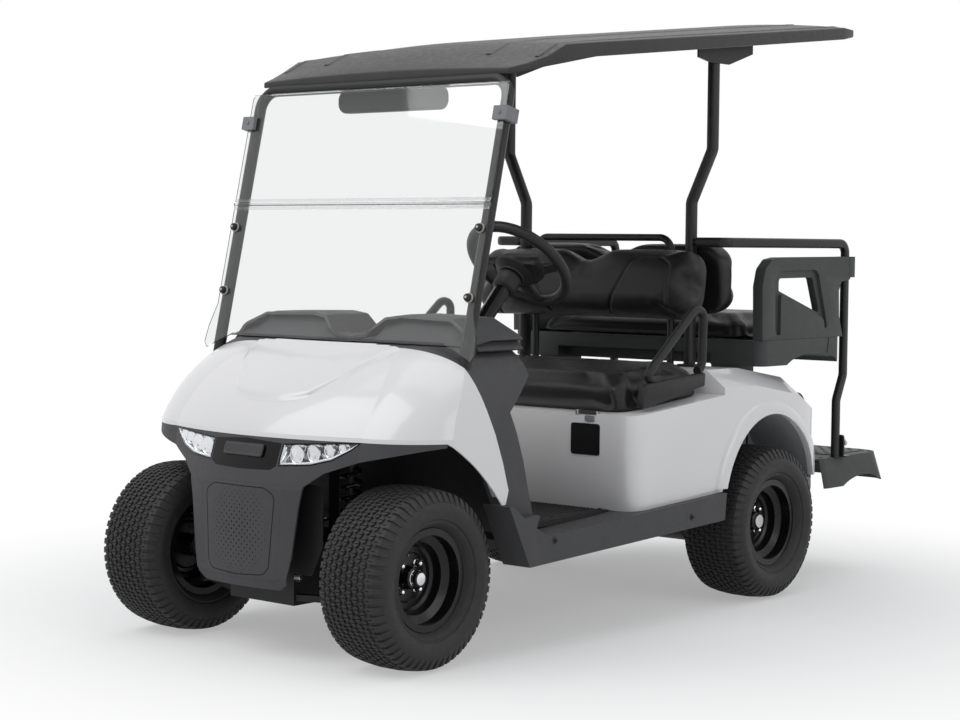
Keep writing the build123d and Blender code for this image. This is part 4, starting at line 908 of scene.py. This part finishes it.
def combine(obj, tool, operation="DIFFERENCE"):
    """Cuts a closed form with another, joins them, or keeps what they share. The other one is used up."""
    modify(obj, "BOOLEAN", operation=operation, solver="EXACT", object=tool)
    bake(obj)
    bpy.data.objects.remove(tool)
    return obj


def moulded(obj, slot, edge):
    """Rounds a closed form's edges, in millimetres, and makes it a piece of the chassis."""
    modify(obj, "BEVEL", width=edge / 1000, segments=3, limit_method="ANGLE", angle_limit=radians(28))
    bake(obj)
    return dressed(obj, slot)


def arc(start, middle, end, steps):
    """Points on the circle through three points, the first one included."""
    (x1, y1), (x2, y2), (x3, y3) = start, middle, end
    d = 2 * (x1 * (y2 - y3) + x2 * (y3 - y1) + x3 * (y1 - y2))
    a, b, c = x1 * x1 + y1 * y1, x2 * x2 + y2 * y2, x3 * x3 + y3 * y3
    cx = (a * (y2 - y3) + b * (y3 - y1) + c * (y1 - y2)) / d
    cy = (a * (x3 - x2) + b * (x1 - x3) + c * (x2 - x1)) / d
    r = hypot(x1 - cx, y1 - cy)
    first, mid, last = (atan2(y - cy, x - cx) for x, y in (start, middle, end))
    turn = (last - first) % ROUND
    if (mid - first) % ROUND > turn:
        turn -= ROUND
    return [(cx + r * cos(first + turn * k / steps), cy + r * sin(first + turn * k / steps))
            for k in range(steps)]


def ellipse(cx, cy, rx, ry, steps=72):
    return [(cx + rx * cos(a), cy + ry * sin(a)) for a in turns(steps)]


def plan(half_w, y0, y1, front, back, steps):
    """A rectangle seen from above, with the radii of its front and back corners."""
    return rounded([(-half_w, y0), (half_w, y0), (half_w, y1), (-half_w, y1)], [front, front, back, back], steps)


# y, half width, lower edge z, side height, crown
ROOF_SECTIONS = [
    (360, 500, 1656, 18, 12), (420, 525, 1668, 23, 24), (480, 545, 1684, 29, 32), (560, 552, 1700, 54, 22),
    (700, 558, 1728, 43, 29), (1160, 560, 1781, 42, 34), (2130, 552, 1893, 40, 37), (2210, 538, 1907, 26, 30),
    (2250, 515, 1918, 12, 20)]
RIDGE_Y0, RIDGE_Y1, RIDGE_STEPS = 470, 2190, 59


def roof_loops(inset, skin):
    """The roof's sections, drawn in at the sides and ends by inset and in height by skin, in millimetres."""
    loops = []
    for i, (y, half_w, low_z, side_h, crown) in enumerate(ROOF_SECTIONS):
        end = 1 if i == 0 else -1 if i == len(ROOF_SECTIONS) - 1 else 0
        w, low, top = half_w - inset, low_z - skin, low_z + max(side_h - skin, 2)
        upper = arc((w, top), (0, top + crown), (-w, top), 28) + [(-w, top)]
        loops.append([at(x, y + end * inset, z) for x, z in [(-w, low), (w, low)] + upper])
    return loops


def make_roof():
    roof = combine(form("roof_moulding", roof_loops(0, 0)), form("roof_hollow", roof_loops(14, 6)))
    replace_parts(moulded(roof, "roof_plastic", 5), "roof")
    skin = BVHTree.FromObject(roof, bpy.context.evaluated_depsgraph_get())
    for side, name in SIDES.items():
        bm = bmesh.new()
        for x0, x1, width in ((512, 500, 10), (330, 330, 14)):
            rows = []
            for share in (k / RIDGE_STEPS for k in range(RIDGE_STEPS + 1)):
                y = RIDGE_Y0 + (RIDGE_Y1 - RIDGE_Y0) * share
                p, n = drop_on(skin, at(side * (x0 + (x1 - x0) * share), y, 2400), -Z)
                if p is not None:
                    rows.append([p + X * (u / 1000) + n * (h / 1000)
                                 for u, h in ((-width, -0.6), (-width / 2, 2.2), (width / 2, 2.2), (width, -0.6))])
            strip(bm, rows)
        piece("roof_ridges_" + name, bm, "roof_plastic")


POD_FRONT, POD_STEP, POD_BACK, POD_DECK = 890, 1380, 2050, 772
POD_TOP = [(POD_STEP, POD_DECK), (1560, POD_DECK), (1830, 730), (1950, 660), (POD_BACK, 520)]
POD_SIDE_X, POD_CREASE_X, POD_FALL = 575, 500, 55
POD_SKIN = 5
FLARE_X = 595
ARCH = (1649, 300, 285, 320)      # y, z, half length, height


def sill_top(y):
    return 337.3 + (y - 440) * 45 / 922


def seat_line(y):
    return 652 + (y - POD_FRONT) * tan(SEAT_TILT)


def pod_body(name, inset):
    """The seat pod with its walls drawn in by some millimetres and its foot lowered by eight times that."""
    drop = 8 * inset
    front, back, step = POD_FRONT + inset, POD_BACK - inset, POD_STEP + inset
    loops = []
    side_x = POD_SIDE_X - inset
    for x, fall in ((-side_x, POD_FALL), (-POD_CREASE_X, 0), (POD_CREASE_X, 0), (side_x, POD_FALL)):
        top = [(y + (inset if y == POD_STEP else -inset), z - inset - fall) for y, z in POD_TOP]
        outline = [(front, sill_top(POD_FRONT) - drop), (front, seat_line(POD_FRONT) - inset),
                   (step, seat_line(POD_STEP) - inset), *top, (back, 334 - drop), (1985, 334 - drop),
                   (1925, 400 - drop), (1410, sill_top(1410) - drop)]
        loops.append([at(x, y, z) for y, z in outline])
    corners = plan(side_x, front, back, 70 - inset, 210 - inset, 12)
    return combine(form(name, loops), prism(corners, (0, 850), "z"), "INTERSECT")


def make_rear_body():
    cy, cz, rx, rz = ARCH
    body = pod_body("pod_moulding", 0)
    for side in SIDES:
        flare = form("flare", [[at(side * x, y, z) for y, z in ellipse(cy, cz, rx + grow, rz + grow)]
                               for x, grow in ((560, 48), (575, 45), (584, 40), (590, 30), (593, 12))])
        combine(flare, prism([(1000, -100), (2300, -100), (2300, 394), (1000, 394)], (-700, 700), "x"))
        combine(flare, prism(plan(FLARE_X, POD_FRONT, POD_BACK, 70, 226, 12), (0, 850), "z"), "INTERSECT")
        combine(body, flare, "UNION")
    combine(body, pod_body("pod_inside", POD_SKIN))
    combine(body, prism(ellipse(cy, cz, rx, rz), (-800, 800), "x"))
    combine(body, prism(oblong(820, 380, 40, 5, (0, 1145)), (592, 752), "z"))
    combine(body, prism(oblong(800, 166, 10, 4, (0, 416)), (2020, 2080), "y"))
    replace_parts(moulded(body, "white_body", 4), "rear_body")


def bent(points, radius):
    """An open run of points with true arcs at its corners, the radius in millimetres."""
    radius = radius / 1000
    line = [points[0]]
    for before, corner, after in zip(points, points[1:], points[2:]):
        u, v = (before - corner).normalized(), (after - corner).normalized()
        half = u.angle(v) / 2
        centre = corner + (u + v).normalized() * (radius / sin(half))
        first, last = ((corner + way * (radius / tan(half)) - centre).normalized() for way in (u, v))
        line += [centre + first.slerp(last, k / BEND_STEPS) * radius for k in range(BEND_STEPS + 1)]
    return line + [points[-1]]


BEND_STEPS = 8
FLAT_TUBES = [
    # piece, corners, radius at the corners, section
    ("strut_tubes", [(352, 1500, POD_DECK + 6), (352, 1500, 1318), (432, 1500, 1490), (432, 1500, 1790)], 45,
     oblong(30.6, 41, 13, 4)),
    ("rail_tubes", [(505, 2195, 431), (505, 2195, 632), (505, 2238, 720), (505, 2238, 1185), (485, 1500, 1185),
                    (378, 1500, 1185)], 35, oblong(24.8, 33, 11, 4)),
]


def make_flat_tubes():
    """The struts and side rails are flattened tubes."""
    for name, corners, radius, section in FLAT_TUBES:
        bm = bmesh.new()
        for side in SIDES:
            line = bent([at(side * x, y, z) for x, y, z in corners], radius)
            swept(bm, line, [section] * len(line), X)
        piece(name, bm, "black_steel")


LINER_X, LINER_FOOT = 363, 372


def make_arch_liners():
    """Pale liners over the rear tyres, with thin dark plates that stand for the shade in their slots: painted shade.
    """
    cy, cz, rx, rz = ARCH
    rim = [p for p in ellipse(cy, cz, rx + 3, rz + 3, 96) if p[1] > LINER_FOOT]
    rim.sort(key=lambda p: atan2(p[1] - cz, p[0] - cy))
    inner = [(cy + (y - cy) * 0.72, max(LINER_FOOT, cz + (z - cz) * 0.70)) for y, z in rim]
    for side, name in SIDES.items():
        made_of("arch_liner_" + name, "white_body", LINER_GREY,
                *[(strip, [[at(side * x, y, z) for y, z in line] for x, line in pair])
                  for pair in (((569, rim), (LINER_X, rim)), ((LINER_X, rim), (LINER_X, inner)))])
        # Thin near-black plates on the liner stand for the shade inside its slots: painted shade.
        made_of("painted_liner_slot_shade_" + name, "white_body", PAINTED_RECESS_SHADE,
                *[(plate, oblong(9, 46, 4), at(side * (LINER_X + 1.2), y, z), Y * side, Z, 0.8)
                  for y, z in ((1840, 500), (1806, 540), (1500, 520))])


ARM_OUTLINE = [(1660, 860), (1655, 1040), (1672, 1098), (1712, 1130), (1760, 1137), (2226, 1140), (2226, 1060),
               (2165, 1052), (2150, 1020), (2154, 930), (2180, 860)]
ARM_WINDOW = [(1774, 1024), (1774, 1066), (1990, 1068), (2040, 943)]
ARM_RECESS = [(1740, 875), (1730, 1060), (1765, 1092), (2008, 1095), (2078, 890)]
ARM_INFILL = [(1772, 868), (1772, 1016), (2050, 925), (2062, 880)]


def make_armrests():
    for side, name in SIDES.items():
        rest = prism(rounded(ARM_OUTLINE, [2, 14, 26, 26, 16, 3, 6, 12, 16, 16, 2], 5),
                     sorted((side * 497, side * 535)), "x", "armrest_" + name)
        combine(rest, prism(rounded(ARM_WINDOW, [8, 14, 14, 12], 5), (-600, 600), "x"))
        recess = prism(rounded(ARM_RECESS, [18, 34, 30, 40, 16], 5), sorted((side * 523, side * 555)), "x")
        combine(recess, prism(rounded(ARM_INFILL, [4, 12, 22, 6], 5), (-700, 700), "x"))
        combine(rest, recess)
        combine(rest, prism(oblong(56, 44, 9, 4, (side * 509, 2238)), (1067, 1140), "z"), "UNION")
        moulded(rest, "kit_plastic", 2.5)
    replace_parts(rest, "armrests")


PAN_W, PAN_L, PAN_MIDDLE = 1070, 512, (0, 1916)
PAN_GAP = 329            # mm, half the way between the pan's legs


def make_rear_pan():
    pan = prism(oblong(PAN_W, PAN_L, 40, 6, PAN_MIDDLE), (772, 859.5), "z", "seat_pan_moulding")
    under = [(1814, 771), (2150, 771), (2128, 788)] + arc((2128, 788), (1988, 808), (1850, 788), 12) + [(1850, 788)]
    combine(pan, prism(under, (-700, 700), "x"))
    combine(pan, prism([(-PAN_GAP, 1600), (PAN_GAP, 1600), (PAN_GAP, 1720), (-PAN_GAP, 1720)], (700, 811), "z"))
    combine(pan, prism(oblong(PAN_W - 36, PAN_L - 36, 24, 6, PAN_MIDDLE), (846, 900), "z"))
    leg = [(1663, 757), (1800, 735), (1800, 840), (1663, 840)]
    for side in SIDES:
        combine(pan, prism(leg, sorted((side * PAN_GAP, side * 412)), "x"), "UNION")
    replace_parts(moulded(pan, "kit_plastic", 4), "rear_seat_pan")
    made_of("pan_seams", "kit_plastic", rubber("moulding_seam", (0.008, 0.008, 0.008), 0.8),
            *[(tube, [at(side * 535.3, y, z) for y, z in ((2086, 858), (2082, 832), (2076, 806))], 1.3, 6)
              for side in SIDES])


def footplate_loops(inset, front):
    """The footplate's upper and lower outlines, drawn in by inset and carried forward by front, in millimetres."""
    return [[at(x, y, z) for x, y in plan(530 - inset - lean, 2065 - front, 2540 - inset - lean, 60, 85 - inset, 10)]
            for z, lean in ((430 - inset, 22), (326 - inset, 0))]


def make_footplate():
    step = combine(form("footplate_moulding", footplate_loops(0, 0)), form("plate_inside", footplate_loops(6, 100)))
    under = arc((2214, 325), (2368, 356), (2520, 325), 20) + [(2520, 300), (2214, 300)]
    combine(step, prism(under, (-700, 700), "x"))
    combine(step, prism(oblong(930, 265, 40, 6, (0, 2362)), (425, 433), "z"), "UNION")
    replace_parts(moulded(step, "kit_plastic", 3), "footplate")

    studs = [(-441 + 42 * column + 21 * (row % 2), 2250 + 28 * row) for column in range(22) for row in range(9)]
    made_of("footplate_studs", "kit_plastic", None,
            *[(lathe, [(0, 7.5), (1.6, 6.2), (1.9, 2)], at(x, y, 432.8), Z, 10) for x, y in studs if abs(x) <= 448])
    made_of("footplate_plugs", "black_plastic", None,
            *[(lathe, [(0, 9), (1.2, 9), (2, 6), (1.2, 4)], at(x, y, 430), Z, 20)
              for x in (-486, 486) for y in (2130, 2200, 2470)])
    made_of("rail_foot_brackets", "black_steel", None,
            *[(plate, oblong(44, 78, 12), at(side * 505, 2222, 469), X, Z, 8, 1.5) for side in SIDES],
            *[(plate, oblong(66, 34, 8), at(side * 505, 2230, 430), X, Y, 4, 1) for side in SIDES])
    made_of("rail_foot_bolts", "knuckle_metal", ZINC,
            *[(bolt, at(side * 517, 2238, 478), X * side, 15, 8) for side in SIDES])


def make_rear_bar():
    outline = [(2062, 662), (1990, 646), (1980, 620.3), (2050.3, 520.6), (2050.3, 516)]
    bar = prism(outline + arc((2070, 552), (2113, 604), (2062, 662), 14), (-430, 430), "x", "rear_bar")
    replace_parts(moulded(bar, "grey_plastic", 8), "rear_bumper")


HIP_LOOP = rounded([(975, 752), (1110, 855), (1262, 975), (1308, 962), (1304, 800), (1290, 776)], 46, 7)
HIP_LOBE = [(955, seat_line(955) + 12), (1302, seat_line(1302) + 40), (1304, 770), (1050, 752), (975, 746)]


def lobe_outline(draw):
    """The foot of a hip restraint with its ends and top drawn in."""
    drawn = [(y + (draw if y < 1200 else -draw), z - (draw if z > 740 else 0)) for y, z in HIP_LOBE]
    return rounded(drawn, [16, 8, 8, 30, 22], 6)


def make_hip_restraints():
    """Loops of thick moulded bar at both ends of the front seat."""
    radii = [17] + [14.5] * (len(HIP_LOOP) - 2) + [15]
    for side, name in SIDES.items():
        loop = made_of("hip_loop_" + name, "black_plastic", None,
                       (tube, [at(side * 535, y, z) for y, z in HIP_LOOP], radii, 16),
                       (rings, [[at(side * x, y, z) for y, z in lobe_outline(draw)]
                                for x, draw in ((524, 8), (527, 2), (532, 0), (545, 0), (550, 2), (553, 8))]))
    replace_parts(loop, "hip_restraints")


DOME_COLUMNS, DOME_ROWS = 96, 60
DOME_FOOT, DOME_TOP, DOME_RISE = 722, 884, 7


def make_hood_dome():
    """The raised middle of the hood, which stands behind a soft crease."""
    skin = skin_of("front_cowl")
    bm = bmesh.new()
    grid = {}
    for i in range(DOME_COLUMNS + 1):
        for j in range(DOME_ROWS + 1):
            share = j / DOME_ROWS
            half = 150 + 150 * min(1, max(0, (share - 0.05) * 1.15)) ** 0.8
            x = -half + 2 * half * i / DOME_COLUMNS
            low = DOME_FOOT + 18 * (abs(x) / half) ** 3
            z = low + (DOME_TOP - low) * share
            edge = min(1, (half - abs(x)) / 26, (z - low) / 22 + 0.001)
            p, _ = on_front(skin, x, z, 0.25 + DOME_RISE * edge * edge * (3 - 2 * edge))
            if p is not None:
                grid[i, j] = bm.verts.new(p)
    for i in range(DOME_COLUMNS):
        for j in range(DOME_ROWS):
            corners = [grid.get(k) for k in ((i, j), (i + 1, j), (i + 1, j + 1), (i, j + 1))]
            if None not in corners:
                bm.faces.new(corners)
    piece("hood_dome", bm, "white_body", smooth=80)


HUMPS = [(0, 899), (60, 907), (118, 957), (178, 965), (382, 960), (452, 927), (512, 897)]


def make_dash_humps():
    outline = rounded([(-x, z) for x, z in HUMPS[1:]] + HUMPS[::-1], 16, 4)
    levels = ((216, 0.0, 884), (228, 0.06, 886), (292, 0.92, 886), (304, 1.0, 886), (441, 1.0, 886))
    made_of("dash_humps", "grey_plastic", None,
            (strip, [[at(x, y, low + (z - low) * share) for x, z in outline] for y, share, low in levels]))


make_roof()
make_rear_body()
make_flat_tubes()
make_arch_liners()
make_armrests()
make_rear_pan()
make_footplate()
make_rear_bar()
make_hip_restraints()
make_hood_dome()
make_dash_humps()


# ---------------------------------------------------------------- studio and camera

def seen_ray(tree):
    """1 for rays that come from the camera, a mirror-like surface or clear plastic."""
    path = add_node(tree, "LightPath", {}).outputs
    total = path["Is Camera Ray"]
    for ray in ("Is Glossy Ray", "Is Transmission Ray"):
        total = add_node(tree, "Math", {0: total, 1: path[ray]}, operation="MAXIMUM").outputs[0]
    return total


def make_world():
    world = bpy.data.worlds.new("studio")
    bpy.context.scene.world = world
    world.use_nodes = True
    tree = world.node_tree
    tree.nodes.clear()
    light = add_node(tree, "Background", {"Color": (0.93, 0.96, 1.0, 1), "Strength": 0.42})
    white = add_node(tree, "Background", {"Color": (1, 1, 1, 1), "Strength": 1.0})
    mix = add_node(tree, "MixShader", {0: seen_ray(tree), 1: light.outputs[0], 2: white.outputs[0]})
    add_node(tree, "OutputWorld", {0: mix.outputs[0]})


FLOOR_HALF = 60          # m


def make_floor():
    """A pale floor that keeps the shadow near the object and turns white further out."""
    mesh = bpy.data.meshes.new("floor")
    corners = ((-1, -1), (1, -1), (1, 1), (-1, 1))
    mesh.from_pydata([(x * FLOOR_HALF, y * FLOOR_HALF, 0) for x, y in corners], [], [(0, 1, 2, 3)])
    floor = shown("floor", mesh)
    mat = bpy.data.materials.new("studio_floor")
    mat.use_nodes = True
    tree = mat.node_tree
    shader = tree.nodes["Principled BSDF"]
    shader.inputs["Base Color"].default_value = (0.86, 0.86, 0.865, 1)
    shader.inputs["Roughness"].default_value = 0.9
    shader.inputs["Specular IOR Level"].default_value = 0.1
    glow = add_node(tree, "Emission", {"Color": (1, 1, 1, 1)})
    coords = add_node(tree, "TexCoord", {})
    away = add_node(tree, "VectorMath", {0: coords.outputs["Object"]}, operation="LENGTH")
    fade = add_node(tree, "MapRange", {"Value": away.outputs["Value"], "From Min": 0.9, "From Max": 2.6,
                                       "To Min": 0.35, "To Max": 1.0}, interpolation_type="SMOOTHSTEP")
    share = add_node(tree, "Math", {0: fade.outputs["Result"], 1: seen_ray(tree)}, operation="MULTIPLY")
    mix = add_node(tree, "MixShader", {0: share.outputs[0], 1: shader.outputs[0], 2: glow.outputs[0]})
    tree.links.new(mix.outputs[0], tree.nodes["Material Output"].inputs[0])
    paint(floor, mat)


def area_light(name, place, target, size, power):
    light = bpy.data.lights.new(name, "AREA")
    light.shape = "RECTANGLE"
    light.size, light.size_y = size
    light.energy = power
    lamp = shown(name, light)
    lamp.location = place
    lamp.rotation_euler = (Vector(target) - Vector(place)).to_track_quat("-Z", "Y").to_euler()


CAMERA_PLACE = (4.24602, -5.32768, 1.17698)
CAMERA_AZIMUTH = 40.2188      # degrees
CAMERA_ELEVATION = 3.2540
CAMERA_ROLL = 0.5272
CAMERA_LENS = 77.314          # mm on a 36 mm sensor


def make_camera():
    data = bpy.data.cameras.new("camera")
    data.lens, data.sensor_width = CAMERA_LENS, 36
    camera = shown("camera", data)
    place = Matrix.Translation(CAMERA_PLACE)
    for degrees, axis in ((CAMERA_AZIMUTH, "Z"), (90 - CAMERA_ELEVATION, "X"), (CAMERA_ROLL, "Z")):
        place = place @ Matrix.Rotation(radians(degrees), 4, axis)
    camera.matrix_world = place
    bpy.context.scene.camera = camera


bpy.context.scene.view_settings.view_transform = "Standard"
make_world()
make_floor()
area_light("key", (-1.5, -4.5, 5.5), (0, 0, 0.7), (5, 4), 150)
area_light("fill", (6.0, 0.5, 3.2), (0, 0, 0.8), (4, 3), 55)
area_light("top", (0, 1.0, 6.0), (0, 0, 0.6), (6, 6), 95)
make_camera()
